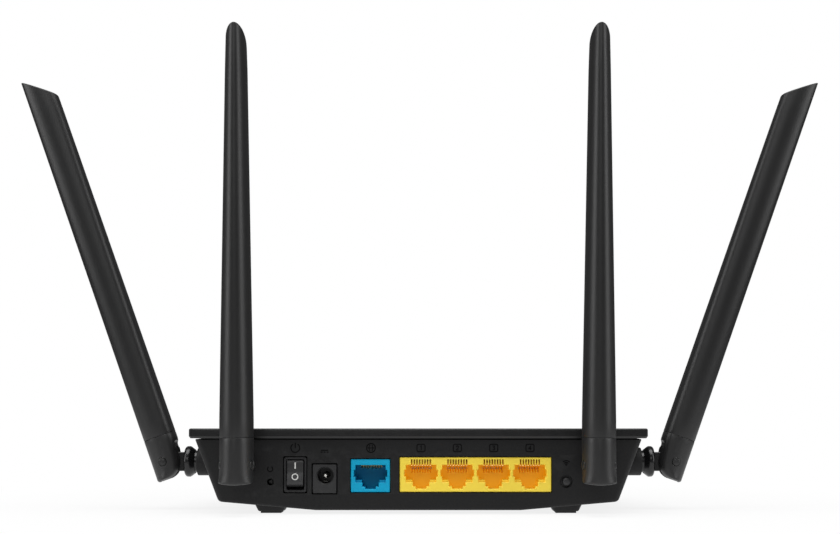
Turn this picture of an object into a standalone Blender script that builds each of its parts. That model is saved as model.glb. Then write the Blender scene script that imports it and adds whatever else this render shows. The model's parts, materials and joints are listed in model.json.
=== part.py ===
"""A wireless router with four hinged antennas, as an assembly of separate pieces.

Metres, +Z up. The rear panel with its jacks faces -Y, and the object stands on Z = 0, centred in X and Y.
The case pieces are parented to an empty at the middle of the rear panel's foot, so their own sizes are
counted forwards from the panel. Each antenna is parented to an empty on its hinge pin.
"""

import math

import bmesh
import bpy
from mathutils import Vector

# Clearance between pieces that touch or fit into each other
GAP = 0.0003

# Sides of round shapes: those seen or turned on, and small ones
ROUND_SIDES = 24
SMALL_SIDES = 16

# Case: half outline of its top edge, rear to front, as sizes
CASE_HEIGHT = 0.0287
CASE_DEPTH = 0.1143
REAR_HALF_WIDTH = 0.0846
SIDE_FLARE = 0.0025
CORNER_CHAMFER = 0.0014
WIDEST_AT = 0.052
FRONT_HALF_WIDTH = REAR_HALF_WIDTH - 0.0126
FRONT_CORNER = 0.0075
FLAT_HALF_WIDTH = 0.0394
WALL = 0.0020
WALL_SLANT = 0.33
LOWER_HALF_WIDTH = REAR_HALF_WIDTH - CASE_HEIGHT * WALL_SLANT
UNDERSIDE_LIFT = 0.0014
UNDERSIDE_RISE = 0.0031
UNDERSIDE_SLOPE = UNDERSIDE_RISE / (LOWER_HALF_WIDTH - FLAT_HALF_WIDTH)
EDGE_CHAMFER = 0.0012

# Lid
LID_RIM_HEIGHT = 0.0038
LID_RIM_BOTTOM = CASE_HEIGHT + GAP
LID_TOP = LID_RIM_BOTTOM + LID_RIM_HEIGHT
LID_CEILING = LID_RIM_BOTTOM + 0.0006
LID_OVERHANG = 0.0025
LID_REAR_OVERHANG = 0.0012
LID_FRONT_Y = CASE_DEPTH + LID_OVERHANG
LID_FRONT_DROP = 0.0011
LID_PANEL_INSET = 0.0105
LID_PANEL_SINK = 0.0006
LIP_DEPTH = 0.075 * CASE_HEIGHT
LIP_THICKNESS = 0.0015
LIP_CLEARANCE = 2 * GAP

# Indicator windows in the lid
WINDOW_COUNT = 7
WINDOW_PITCH = 0.0085
WINDOW_LENGTH = 0.0042
WINDOW_WIDTH = 0.0016
WINDOW_Y = CASE_DEPTH - 0.0078
GUIDE_BAR = 0.0030

# Feet
FOOT_INNER_X = REAR_HALF_WIDTH - 0.0337
FOOT_WIDTH = 0.0127
FOOT_TAPER = 0.0013
FOOT_LENGTH = 0.013
FOOT_REAR_Y = 0.004
FOOT_FRONT_Y = CASE_DEPTH - 0.0303
FOOT_SOLE = 0.0007
PAD_MARGIN = 0.0011
PAD_THICKNESS = 0.0015

# Case screws and the posts that take them
POST_X = REAR_HALF_WIDTH - 0.0181
POST_REAR_Y = 0.0430
POST_FRONT_Y = CASE_DEPTH - 0.0403
POST_RADIUS = 0.0036
SCREW_SEAT = 0.0062
SCREW_BOSS_RADIUS = 0.0045
SCREW_BOSS_TOP = SCREW_SEAT + 0.0022
SCREW_HEAD_RADIUS = 0.0029
SCREW_HEAD_HEIGHT = 0.0019
SCREW_SHANK_RADIUS = 0.0015
SCREW_LENGTH = 0.0125

# Vents and rating label on the underside
VENT_COLUMNS = 7
VENT_PITCH = 0.0060
VENT_LENGTH = 0.0180
VENT_WIDTH = 0.0022
VENT_REAR_Y = 0.030
VENT_FRONT_Y = CASE_DEPTH - 0.0283
LABEL_SIZE = (0.062, VENT_FRONT_Y - VENT_REAR_Y - VENT_LENGTH - 0.0080)
LABEL_Y = (VENT_REAR_Y + VENT_FRONT_Y) / 2
LABEL_THICKNESS = 0.0003
LABEL_RECESS = 0.0007

# Circuit board, which lies just clear of the case's sloping floor
BOARD_THICKNESS = 0.0016
BOARD_REAR_Y = WALL + GAP
BOARD_DEPTH = CASE_DEPTH - 0.0343
BOARD_HALF_WIDTH = POST_X - SCREW_BOSS_RADIUS - 0.0010
FLOOR_AT_BOARD_EDGE = UNDERSIDE_LIFT + UNDERSIDE_SLOPE * (BOARD_HALF_WIDTH - FLAT_HALF_WIDTH) + WALL
BOARD_BOTTOM = FLOOR_AT_BOARD_EDGE + 0.00055
BOARD_TOP = BOARD_BOTTOM + BOARD_THICKNESS
BOARD_CORNER = 0.002
BOARD_SCREW_X = BOARD_HALF_WIDTH - 0.0045
BOARD_SCREW_Y = 0.060
BOARD_SCREW_SHANK = 0.0012
BOARD_SCREW_HEAD = 0.0026
BOARD_POST_RADIUS = 0.0032

# Board parts that stand clear of the rear panel
TRANSFORMER_SIZE = (0.016, 0.012, 0.0060)
TRANSFORMER_Y = 0.0200
CAN_SIZE = (0.028, 0.032, 0.0036)
CAN_X = 0.038
CAN_Y = 0.040
CAN_SKIN = 0.0005
SINK_SIZE = (0.030, 0.028, 0.0100)
SINK_FINS = 8
SINK_BASE = 0.0020
SINK_FIN = 0.0012

# Network ports
JACK_SETBACK = 0.0003
LAN_PORTS = 4
PORT_PITCH = 0.01397
LAN_SIZE = (LAN_PORTS * PORT_PITCH + 0.0024, 0.0133)
LAN_CENTRE = (0.0220, BOARD_TOP + 0.0010 + LAN_SIZE[1] / 2)
WAN_SIZE = (0.0151, 0.0127)
WAN_CENTRE = (-0.0184, BOARD_TOP + 0.0009 + WAN_SIZE[1] / 2)
BLOCK_DEPTH = 0.0160
PORT_DEPTH = 0.0125
PORT_WIDTH = 0.0117
PORT_HEIGHT = 0.0067
LAN_PORT_DOWN = 0.0029
WAN_PORT_DOWN = 0.0023
COMB_WIDTH = 0.0086
COMB_HEIGHT = 0.0020
BULGE_WIDTH = 0.0129
BULGE_HEIGHT = 0.0026
BULGE_DOWN = 0.0019
LATCH_WIDTHS = (0.0063, 0.0041)
LATCH_HEIGHTS = (0.0016, 0.0009)
WIRES = 8
WIRE_PITCH = 0.00102
WIRE_WIDTH = 0.00045
WIRE_THICKNESS = 0.00028
LAN_CONTACT_DROP = 0.0032
WAN_CONTACT_DROP = 0.0016

# Power jack
DC_SIZE = (0.0094, 0.0114)
DC_CENTRE = (-0.0360, BOARD_TOP + 0.00035 + DC_SIZE[1] / 2)
DC_DEPTH = 0.0140
DC_HOLE_RADIUS = 0.00305
DC_HOLE_X = DC_CENTRE[0] + 0.0002
DC_HOLE_Z = DC_CENTRE[1] + 0.00125
DC_HOLE_DEPTH = 0.0095
DC_PIN_RADIUS = 0.0010
DC_PIN_SETBACK = 0.0018

# Power rocker and its housing
SWITCH_SIZE = (0.00875, 0.0136)
SWITCH_CENTRE = (-0.0473, BOARD_TOP + 0.0008 + SWITCH_SIZE[1] / 2)
SWITCH_OPENING = (0.0068, 0.01155)
SWITCH_DEPTH = 0.0110
SWITCH_BACK = 0.0020
PIVOT_DEPTH = 0.0030
ROCKER_TILT = math.radians(11)
ROCKER_FACE_HALF = 0.00475
ROCKER_FACE_PROUD = 0.0012
ROCKER_BACK = 0.0045
ROCKER_STUB_RADIUS = 0.0009

# Buttons and the switches behind them
BUTTONS_X = REAR_HALF_WIDTH - 0.0277
WPS_CENTRE = (BUTTONS_X, BOARD_TOP + 0.0050)
WPS_HOLE_RADIUS = 0.0023
WPS_CAP_RADIUS = 0.00145
WPS_PROUD = 0.0006
BUTTON_FLANGE_RADIUS = 0.0030
BUTTON_FLANGE = 0.0008
BUTTON_STEM_RADIUS = 0.0012
BUTTON_STEM_END = 0.0060
BUTTON_TRAVEL = 0.0004
TACT_SIZE = (0.0062, 0.0036, 0.0068)
RESET_CENTRE = (-BUTTONS_X, BOARD_TOP + 0.0048)
RESET_HOLE_RADIUS = 0.0013
RESET_TACT_Y = 0.0050
PLUNGER_RADIUS = 0.00095
PLUNGER_START = 0.0030
PLUNGER_DEPTH = 0.0025

# Antenna, measured from its hinge pin: +Z along it, -Y to its outer face
ANTENNA_TIP = 0.1664
ANTENNA_BOTTOM = 0.0074
SEAM_HEIGHT = 0.0102
OUTER_REACH = 0.0053
INNER_REACH_LOW = 0.0078
INNER_REACH_TIP = 0.0073
HALF_WIDTH_LOW = 0.0064
HALF_WIDTH_TIP = 0.0039
TAPER_START = 0.0180
WIDEST_SHARE = 0.62
SQUARENESS = 0.7
TIP_SLANT = math.radians(37.8)
TIP_ROUND = 0.0005
BOTTOM_CORNER = 0.0010
HOUSING_PROUD = 0.00015
SLEEVE_WALL = 0.0016
SPIGOT_HEIGHT = 0.0055
PIN_RADIUS = 0.0015
TONGUE_RADIUS = 0.0038
TONGUE_HALF_WIDTH = 0.0025
SLOT_CLEARANCE = 0.0004
SCALLOP_RADIUS = 0.0018
SCALLOP_HEIGHT = 0.0068

# Swivel base, along its axis from the hinge pin
NECK_RADIUS = 0.0044
FLANGE_RADIUS = NECK_RADIUS + 0.0018
FLANGE_START = INNER_REACH_LOW + HOUSING_PROUD + 0.00045
FLANGE_THICKNESS = 0.0041
PIN_FROM_BOSS = FLANGE_START + FLANGE_THICKNESS + 0.0010
BOSS_RADIUS = NECK_RADIUS + GAP + 0.00095
BOSS_LENGTH = 0.0108
REAR_BOSS_PROUD = 0.0030
COLLAR_RADIUS = NECK_RADIUS + 0.0008
COLLAR_LENGTH = 0.0022
SPLIT_HALF_WIDTH = 0.0006
BORE_RADIUS = 0.0013

# Antenna stations
ANTENNA_AXIS_Z = CASE_HEIGHT - 0.0095
REAR_ANTENNA_X = REAR_HALF_WIDTH - 0.0166
SIDE_ANTENNA_Y = 0.0330
SIDE_BOSS_FACE_X = REAR_HALF_WIDTH + 0.0052
REAR_LEAN = math.radians(0.35)
SIDE_LEAN = math.radians(19.4)

# Coaxial leads, and where they meet the board
LEAD_RADIUS = 0.00065
REAR_LEAD_END = (BOARD_HALF_WIDTH - 0.0075, 0.0310)
SIDE_LEAD_END = (BOARD_HALF_WIDTH - 0.0060, 0.0375)

# The whole object is centred in Y
ANTENNA_BEHIND_PANEL = REAR_BOSS_PROUD + PIN_FROM_BOSS + OUTER_REACH + HOUSING_PROUD
ROUTER_Y = (ANTENNA_BEHIND_PANEL - LID_FRONT_Y) / 2
SIDES = (-1, 1)


# ---------------------------------------------------------------- helpers


def clear_scene():
    for obj in list(bpy.data.objects):
        bpy.data.objects.remove(obj, do_unlink=True)


def finish(name, colour, roughness, metallic=0.0):
    """A Principled BSDF material with one plain finish."""
    material = bpy.data.materials.new(name)
    material.use_nodes = True
    shader = material.node_tree.nodes["Principled BSDF"]
    shader.inputs["Base Color"].default_value = (*colour, 1.0)
    shader.inputs["Roughness"].default_value = roughness
    shader.inputs["Metallic"].default_value = metallic
    material.diffuse_color = (*colour, 1.0)
    return material


def empty(name, location, rotation=(0, 0, 0), parent=None):
    obj = bpy.data.objects.new(name, None)
    bpy.context.collection.objects.link(obj)
    obj.empty_display_size = 0.01
    obj.location = location
    obj.rotation_euler = rotation
    obj.parent = parent
    return obj


def solid(name, bm, material, parent=None, location=(0, 0, 0), rotation=(0, 0, 0)):
    """An object made from bm, smooth except at its real edges."""
    bmesh.ops.recalc_face_normals(bm, faces=bm.faces)
    mesh = bpy.data.meshes.new(name)
    bm.to_mesh(mesh)
    bm.free()
    mesh.shade_smooth()
    mesh.set_sharp_from_angle(angle=math.radians(32))
    obj = bpy.data.objects.new(name, mesh)
    bpy.context.collection.objects.link(obj)
    if material is not None:
        mesh.materials.append(material)
    obj.parent = parent
    obj.location = location
    obj.rotation_euler = rotation
    return obj


def copy_of(original, name, parent=None, location=(0, 0, 0), rotation=(0, 0, 0)):
    """A second object on the same mesh, with its own copies of the Boolean tools."""
    obj = original.copy()
    obj.name = name
    bpy.context.collection.objects.link(obj)
    obj.parent = parent
    obj.location = location
    obj.rotation_euler = rotation
    for modifier in obj.modifiers:
        tool = modifier.object.copy()
        bpy.context.collection.objects.link(tool)
        tool.parent = obj
        modifier.object = tool
    return obj


def combine(obj, bm, operation):
    """Adds a Boolean to obj, whose tool is made from bm in obj's own axes."""
    tool = solid(f"{obj.name}_{operation.lower()}_tool", bm, None, parent=obj)
    tool.hide_render = True
    tool.display_type = "WIRE"
    modifier = obj.modifiers.new(operation.title(), "BOOLEAN")
    modifier.operation = operation
    modifier.solver = "EXACT"
    modifier.object = tool


def cut(obj, bm):
    combine(obj, bm, "DIFFERENCE")


def add(obj, bm):
    combine(obj, bm, "UNION")


def loft(bm, rings, capped=True):
    """Joins rings of points with quads, and closes both ends."""
    rows = [[bm.verts.new(point) for point in ring] for ring in rings]
    count = len(rings[0])
    for low, high in zip(rows, rows[1:]):
        for i in range(count):
            j = (i + 1) % count
            bm.faces.new((low[i], low[j], high[j], high[i]))
    if capped:
        bm.faces.new(rows[0])
        bm.faces.new(rows[-1])
    return rows


def along(axis, u, v, w):
    """The point with w along the named axis, and u, v along the other two in X, Y, Z order."""
    return {"X": (w, u, v), "Y": (u, w, v), "Z": (u, v, w)}[axis]


def prism(bm, outline, axis, start, end):
    """A 2-D outline pushed along an axis."""
    loft(bm, [[along(axis, u, v, w) for u, v in outline] for w in (start, end)])


def box(bm, low, high):
    outline = [(low[0], low[1]), (high[0], low[1]), (high[0], high[1]), (low[0], high[1])]
    prism(bm, outline, "Z", low[2], high[2])


def circle(radius, sides, centre=(0.0, 0.0)):
    step = 2 * math.pi / sides
    return [
        (centre[0] + radius * math.cos(i * step), centre[1] + radius * math.sin(i * step))
        for i in range(sides)
    ]


def turned(bm, profile, axis, sides, centre=(0.0, 0.0)):
    """A turned solid: profile holds (radius, place along the axis), from one end to the other."""
    loft(bm, [[along(axis, u, v, w) for u, v in circle(r, sides, centre)] for r, w in profile])


def rounded_box(bm, low, high, chamfer):
    """A box whose upper and upright edges are chamfered."""
    (x0, y0, z0), (x1, y1, z1) = low, high

    def ring(inset, z):
        a, b, c, d = x0 + inset, x1 - inset, y0 + inset, y1 - inset
        k = chamfer
        return [
            (a + k, c, z), (b - k, c, z), (b, c + k, z), (b, d - k, z),
            (b - k, d, z), (a + k, d, z), (a, d - k, z), (a, c + k, z),
        ]

    loft(bm, [ring(0.0, z0), ring(0.0, z1 - chamfer), ring(chamfer, z1)])


def inset(outline, distance):
    """The closed 2-D outline, counter-clockwise, moved inwards by distance."""
    moved = []
    count = len(outline)
    for i in range(count):
        before, here, after = (Vector(outline[(i + k) % count]) for k in (-1, 0, 1))
        first = (here - before).normalized()
        second = (after - here).normalized()
        normal_a = Vector((-first.y, first.x))
        normal_b = Vector((-second.y, second.x))
        middle = normal_a + normal_b
        moved.append(tuple(here + middle * (distance / (1.0 + normal_a.dot(normal_b)))))
    return moved


def strip_solid(bm, lines, path, filled, thickness):
    """A bent flat part cut from strip.

    lines are x places, path is the strip's middle as (y, z) points, and filled(i, j) says whether the cell
    between lines i, i+1 and path points j, j+1 holds metal.
    """
    verts = {}

    def vert(i, j, side):
        if (i, j, side) not in verts:
            before = Vector(path[max(j - 1, 0)])
            after = Vector(path[min(j + 1, len(path) - 1)])
            run = (after - before).normalized()
            y, z = Vector(path[j]) + Vector((-run.y, run.x)) * (side * thickness / 2)
            verts[i, j, side] = bm.verts.new((lines[i], y, z))
        return verts[i, j, side]

    columns, rows = len(lines) - 1, len(path) - 1

    def has(i, j):
        return 0 <= i < columns and 0 <= j < rows and filled(i, j)

    for i in range(columns):
        for j in range(rows):
            if not has(i, j):
                continue
            corners = [(i, j), (i + 1, j), (i + 1, j + 1), (i, j + 1)]
            for side in (-1, 1):
                bm.faces.new([vert(a, b, side) for a, b in corners])
            neighbours = [(i, j - 1), (i + 1, j), (i, j + 1), (i - 1, j)]
            for k, neighbour in enumerate(neighbours):
                if not has(*neighbour):
                    (a, b), (c, d) = corners[k], corners[(k + 1) % 4]
                    bm.faces.new((vert(a, b, -1), vert(c, d, -1), vert(c, d, 1), vert(a, b, 1)))


# ---------------------------------------------------------------- case


def underside_z(x):
    """Height of the underside: flat in the middle, then rising towards the ends."""
    return UNDERSIDE_LIFT + max(abs(x) - FLAT_HALF_WIDTH, 0.0) * UNDERSIDE_SLOPE


def mirrored(half):
    """A counter-clockwise outline from its right half, listed from rear to front."""
    return half + [(-x, y) for x, y in reversed(half)]


def corners_only(outline):
    """The outline without the points where its middle strip meets its straight rear and front."""
    return [(x, y) for x, y in outline if abs(abs(x) - FLAT_HALF_WIDTH) > GAP]


def case_outline(drop=0.0, cut=CORNER_CHAMFER):
    """Plan outline of the case at a depth below its top edge. The rear panel stays upright."""
    side = drop * WALL_SLANT
    front = CASE_DEPTH - side
    wide = REAR_HALF_WIDTH + CORNER_CHAMFER - side
    return mirrored([
        (FLAT_HALF_WIDTH, 0.0),
        (wide - cut, 0.0),
        (wide, cut),
        (wide + SIDE_FLARE, WIDEST_AT),
        (FRONT_HALF_WIDTH + FRONT_CORNER - side, front - FRONT_CORNER),
        (FRONT_HALF_WIDTH - side, front),
        (FLAT_HALF_WIDTH, front),
    ])


def inner_outline(inwards, drop=0.0):
    """The case outline moved inwards, its rear corners cut as wide as before."""
    cut = CORNER_CHAMFER + (2 - math.sqrt(2)) * inwards
    return inset(case_outline(drop, cut), inwards)


def case_ring(above_underside, inwards):
    """Ring of case points at a height over the underside, moved inwards."""
    drop = CASE_HEIGHT - underside_z(LOWER_HALF_WIDTH) - above_underside
    return [(x, y, underside_z(x) + above_underside) for x, y in inner_outline(inwards, drop)]


def top_ring(inwards):
    return [(x, y, CASE_HEIGHT) for x, y in inner_outline(inwards)]


def close_floor(bm, row):
    """Three flat faces across a case ring: the level middle and the two rising ends."""
    half = len(row) // 2
    right = row[:half]
    left = row[half:]
    bm.faces.new(right)
    bm.faces.new(left)
    bm.faces.new((right[0], right[-1], left[0], left[-1]))


def case_shell():
    """The open tray: outer skin down, under, and up inside."""
    bm = bmesh.new()
    rings = [
        case_ring(WALL, WALL),
        top_ring(WALL),
        top_ring(0.0),
        case_ring(EDGE_CHAMFER, 0.0),
        case_ring(EDGE_CHAMFER * 0.3, EDGE_CHAMFER * 0.35),
        case_ring(0.0, EDGE_CHAMFER),
    ]
    rows = loft(bm, rings, capped=False)
    close_floor(bm, rows[0])
    close_floor(bm, rows[-1])
    bmesh.ops.triangulate(bm, faces=bm.faces)
    return bm


def foot_places():
    """Centre x and rear y of the four feet."""
    middle = FOOT_INNER_X + FOOT_WIDTH / 2
    return [(side * middle, y) for y in (FOOT_REAR_Y, FOOT_FRONT_Y) for side in SIDES]


def post_places():
    return [(side * POST_X, y) for y in (POST_REAR_Y, POST_FRONT_Y) for side in SIDES]


def board_screw_places():
    return [(side * BOARD_SCREW_X, BOARD_SCREW_Y) for side in SIDES]


def foot_block(bm, x, y):
    """A moulded foot, narrower at its sole."""
    top = underside_z(x) + WALL / 2
    rings = []
    for z, narrow in ((FOOT_SOLE, FOOT_TAPER), (top, 0.0)):
        a = x - FOOT_WIDTH / 2 + narrow
        b = x + FOOT_WIDTH / 2 - narrow
        c = y + narrow
        d = y + FOOT_LENGTH - narrow
        rings.append([(a, c, z), (b, c, z), (b, d, z), (a, d, z)])
    loft(bm, rings)


def pad_box(x, y, margin):
    """Plan corners of a foot pad, drawn in from the foot's sole by margin."""
    a = x - FOOT_WIDTH / 2 + FOOT_TAPER + margin
    b = x + FOOT_WIDTH / 2 - FOOT_TAPER - margin
    return (a, y + FOOT_TAPER + margin), (b, y + FOOT_LENGTH - FOOT_TAPER - margin)


def antenna_bosses(bm, radius, longer=0.0):
    """The four round bosses, or the bores through them when given a smaller radius."""
    inner_y = BOSS_LENGTH - REAR_BOSS_PROUD + longer
    for side in SIDES:
        centre = (side * REAR_ANTENNA_X, ANTENNA_AXIS_Z)
        prism(bm, circle(radius, ROUND_SIDES, centre), "Y", -REAR_BOSS_PROUD - longer, inner_y)
        ends = (SIDE_BOSS_FACE_X + longer, SIDE_BOSS_FACE_X - BOSS_LENGTH - longer)
        centre = (SIDE_ANTENNA_Y, ANTENNA_AXIS_Z)
        prism(bm, circle(radius, ROUND_SIDES, centre), "X", side * ends[0], side * ends[1])


def panel_opening(bm, centre, size):
    """A window in the rear panel for a block of that size."""
    half_x = size[0] / 2 + GAP
    half_z = size[1] / 2 + GAP
    low = (centre[0] - half_x, -WALL, centre[1] - half_z)
    high = (centre[0] + half_x, 2 * WALL, centre[1] + half_z)
    box(bm, low, high)


def vent_slot(bm, x, y, length, width):
    """A round-ended slot through the floor."""
    half = width / 2
    straight = length / 2 - half
    turns = [math.radians(45 * i) for i in range(5)]
    front = [(x + half * math.cos(a), y + straight + half * math.sin(a)) for a in turns]
    rear = [(2 * x - u, 2 * y - v) for u, v in front]
    prism(bm, front + rear, "Z", -0.001, UNDERSIDE_LIFT + 2 * WALL)


def base_case(black, parent):
    obj = solid("base_case", case_shell(), black, parent)

    solids = bmesh.new()
    for x, y in foot_places():
        foot_block(solids, x, y)
    antenna_bosses(solids, BOSS_RADIUS)
    for x, y in post_places():
        low = underside_z(x) + WALL / 2
        prism(solids, circle(SCREW_BOSS_RADIUS, SMALL_SIDES, (x, y)), "Z", low, SCREW_BOSS_TOP)
    for x, y in board_screw_places():
        low = underside_z(x) + WALL / 2
        prism(solids, circle(BOARD_POST_RADIUS, SMALL_SIDES, (x, y)), "Z", low, BOARD_BOTTOM - GAP)
    add(obj, solids)

    holes = bmesh.new()
    antenna_bosses(holes, NECK_RADIUS + GAP, longer=0.001)
    panel_opening(holes, LAN_CENTRE, LAN_SIZE)
    panel_opening(holes, WAN_CENTRE, WAN_SIZE)
    panel_opening(holes, DC_CENTRE, DC_SIZE)
    panel_opening(holes, SWITCH_CENTRE, SWITCH_SIZE)
    for centre, radius in ((WPS_CENTRE, WPS_HOLE_RADIUS), (RESET_CENTRE, RESET_HOLE_RADIUS)):
        prism(holes, circle(radius, ROUND_SIDES, centre), "Y", -WALL, 2 * WALL)
    cut(obj, holes)

    holes = bmesh.new()
    for x, y in foot_places():
        low, high = pad_box(x, y, PAD_MARGIN - GAP)
        box(holes, (*low, -0.001), (*high, PAD_THICKNESS + GAP))
    for x, y in post_places():
        head = SCREW_HEAD_RADIUS + GAP
        shank = SCREW_SHANK_RADIUS + GAP
        profile = [(head, 0.0), (head, SCREW_SEAT), (shank, SCREW_SEAT), (shank, 2 * SCREW_BOSS_TOP)]
        turned(holes, profile, "Z", SMALL_SIDES, (x, y))
    for x, y in board_screw_places():
        profile = circle(BOARD_SCREW_SHANK + GAP, SMALL_SIDES, (x, y))
        prism(holes, profile, "Z", underside_z(x) + WALL * 0.6, BOARD_TOP)
    for y in (VENT_REAR_Y, VENT_FRONT_Y):
        for i in range(VENT_COLUMNS):
            x = (i - (VENT_COLUMNS - 1) / 2) * VENT_PITCH
            vent_slot(holes, x, y, VENT_LENGTH, VENT_WIDTH)
    half_x = LABEL_SIZE[0] / 2 + GAP
    half_y = LABEL_SIZE[1] / 2 + GAP
    low = (-half_x, LABEL_Y - half_y, -0.001)
    high = (half_x, LABEL_Y + half_y, UNDERSIDE_LIFT + LABEL_RECESS)
    box(holes, low, high)
    cut(obj, holes)


def rating_label(paper, parent):
    bm = bmesh.new()
    half_x = LABEL_SIZE[0] / 2
    half_y = LABEL_SIZE[1] / 2
    top = UNDERSIDE_LIFT + LABEL_RECESS - GAP
    box(bm, (-half_x, -half_y, top - LABEL_THICKNESS), (half_x, half_y, top))
    solid("rating_label", bm, paper, parent, location=(0, LABEL_Y, 0))


def foot_pads(rubber, parent):
    for name, (x, y) in zip(("rear_left", "rear_right", "front_left", "front_right"), foot_places()):
        low, high = pad_box(0.0, 0.0, PAD_MARGIN)
        bm = bmesh.new()
        box(bm, (*low, 0.0), (*high, PAD_THICKNESS))
        solid(f"foot_pad_{name}", bm, rubber, parent, location=(x, y, 0))


# ---------------------------------------------------------------- lid


def lid_outline():
    """Plan outline of the lid: the case's, spread by the overhang, which is smaller at the rear."""
    spread = inset(corners_only(case_outline()), -LID_OVERHANG)
    return [(x, max(y, -LID_REAR_OVERHANG)) for x, y in spread]


def lid_shell():
    """Inside ceiling, locating lip, rim, and the sunken top panel, as one run of rings."""
    outline = lid_outline()
    lip_outer = WALL + LIP_CLEARANCE + LIP_DEPTH * WALL_SLANT
    lip_bottom = CASE_HEIGHT - LIP_DEPTH
    outer = corners_only(inner_outline(lip_outer))
    inner = corners_only(inner_outline(lip_outer + LIP_THICKNESS))

    def level(points, z):
        return [(x, y, z) for x, y in points]

    def sloped(points, z):
        return [(x, y, z - LID_FRONT_DROP * max(y, 0.0) / CASE_DEPTH) for x, y in points]

    rings = [
        level(inner, LID_CEILING),
        level(inner, lip_bottom),
        level(outer, lip_bottom),
        level(outer, LID_RIM_BOTTOM),
        level(inset(outline, 0.0007), LID_RIM_BOTTOM),
        level(outline, LID_RIM_BOTTOM + 0.0006),
        sloped(inset(outline, 0.0002), LID_TOP - 0.0005),
        sloped(inset(outline, 0.0007), LID_TOP),
        sloped(corners_only(inner_outline(LID_PANEL_INSET)), LID_TOP),
        sloped(corners_only(inner_outline(LID_PANEL_INSET + LID_PANEL_SINK)), LID_TOP - LID_PANEL_SINK),
    ]
    bm = bmesh.new()
    loft(bm, rings)
    return bm


def window_places():
    middle = (WINDOW_COUNT - 1) / 2
    return [(i - middle) * WINDOW_PITCH for i in range(WINDOW_COUNT)]


def top_cover(black, parent):
    obj = solid("top_cover", lid_shell(), black, parent)

    posts = bmesh.new()
    for x, y in post_places():
        low = SCREW_BOSS_TOP + GAP
        high = (LID_CEILING + LID_TOP) / 2
        prism(posts, circle(POST_RADIUS, SMALL_SIDES, (x, y)), "Z", low, high)
    add(obj, posts)

    holes = bmesh.new()
    for x, y in post_places():
        high = SCREW_SEAT + SCREW_LENGTH + GAP
        prism(holes, circle(SCREW_SHANK_RADIUS + GAP, SMALL_SIDES, (x, y)), "Z", 0.0, high)
    for x in window_places():
        low = (x - WINDOW_LENGTH / 2, WINDOW_Y - WINDOW_WIDTH / 2, LID_CEILING - WALL)
        high = (x + WINDOW_LENGTH / 2, WINDOW_Y + WINDOW_WIDTH / 2, LID_TOP + WALL)
        box(holes, low, high)
    cut(obj, holes)


def light_guide(clear, parent):
    """A bar under the lid with a finger in each indicator window."""
    bar_half = WINDOW_PITCH * (WINDOW_COUNT - 1) / 2 + WINDOW_LENGTH
    finger_half = WINDOW_LENGTH / 2 - GAP
    lines = [-bar_half]
    for x in window_places():
        lines += [x - finger_half, x + finger_half]
    lines.append(bar_half)
    bar_low = LID_CEILING - GAP - GUIDE_BAR
    bar_high = LID_CEILING - GAP
    finger_top = LID_TOP - LID_FRONT_DROP - 2 * GAP
    path = [(0.0, bar_low), (0.0, bar_high), (0.0, finger_top)]
    bm = bmesh.new()
    strip_solid(bm, lines, path, lambda i, j: j == 0 or i % 2 == 1, WINDOW_WIDTH - 2 * GAP)
    solid("light_guide", bm, clear, parent, location=(0, WINDOW_Y, 0))


# ---------------------------------------------------------------- screws and board


def screw_mesh(name, head_radius, head_height, shank_radius, length, steel):
    """A pan-head screw pointing up: head below its seat at z = 0, with a cross recess."""
    bm = bmesh.new()
    profile = [
        (head_radius * 0.75, -head_height),
        (head_radius, -head_height * 0.55),
        (head_radius, 0.0),
        (shank_radius, 0.0),
        (shank_radius, length - shank_radius),
        (shank_radius * 0.5, length),
    ]
    turned(bm, profile, "Z", SMALL_SIDES)
    obj = solid(name, bm, steel)
    cross = bmesh.new()
    arm = head_radius * 0.55
    half = head_radius * 0.12
    depth = -head_height * 0.45
    outline = [
        (half, -arm), (half, -half), (arm, -half), (arm, half), (half, half), (half, arm),
        (-half, arm), (-half, half), (-arm, half), (-arm, -half), (-half, -half), (-half, -arm),
    ]
    prism(cross, outline, "Z", -2 * head_height, depth)
    cut(obj, cross)
    return obj


def case_screws(steel, parent):
    names = ("rear_left", "rear_right", "front_left", "front_right")
    places = [(x, y, SCREW_SEAT - GAP) for x, y in post_places()]
    head = (SCREW_HEAD_RADIUS, SCREW_HEAD_HEIGHT)
    first = screw_mesh(f"case_screw_{names[0]}", *head, SCREW_SHANK_RADIUS, SCREW_LENGTH, steel)
    first.parent = parent
    first.location = places[0]
    for name, place in zip(names[1:], places[1:]):
        copy_of(first, f"case_screw_{name}", parent, place)


def board_screws(steel, parent):
    length = BOARD_TOP + GAP - (underside_z(BOARD_SCREW_X) + WALL * 0.6) - GAP
    places = [(x, y, BOARD_TOP + GAP) for x, y in board_screw_places()]
    first = screw_mesh(
        "board_screw_left", BOARD_SCREW_HEAD, SCREW_HEAD_HEIGHT, BOARD_SCREW_SHANK, length, steel
    )
    first.parent = parent
    first.location = places[0]
    first.rotation_euler = (math.pi, 0, 0)
    copy_of(first, "board_screw_right", parent, places[1], (math.pi, 0, 0))


def main_board(laminate, parent):
    bm = bmesh.new()
    front = BOARD_REAR_Y + BOARD_DEPTH
    corner = BOARD_CORNER
    half = BOARD_HALF_WIDTH
    outline = [
        (-half, BOARD_REAR_Y), (half, BOARD_REAR_Y), (half, front - corner),
        (half - corner, front), (-half + corner, front), (-half, front - corner),
    ]
    prism(bm, outline, "Z", BOARD_BOTTOM, BOARD_TOP)
    obj = solid("main_board", bm, laminate, parent)
    holes = bmesh.new()
    for x, y in board_screw_places():
        prism(holes, circle(BOARD_SCREW_SHANK + GAP, SMALL_SIDES, (x, y)), "Z", 0.0, 2 * BOARD_TOP)
    cut(obj, holes)


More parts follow.
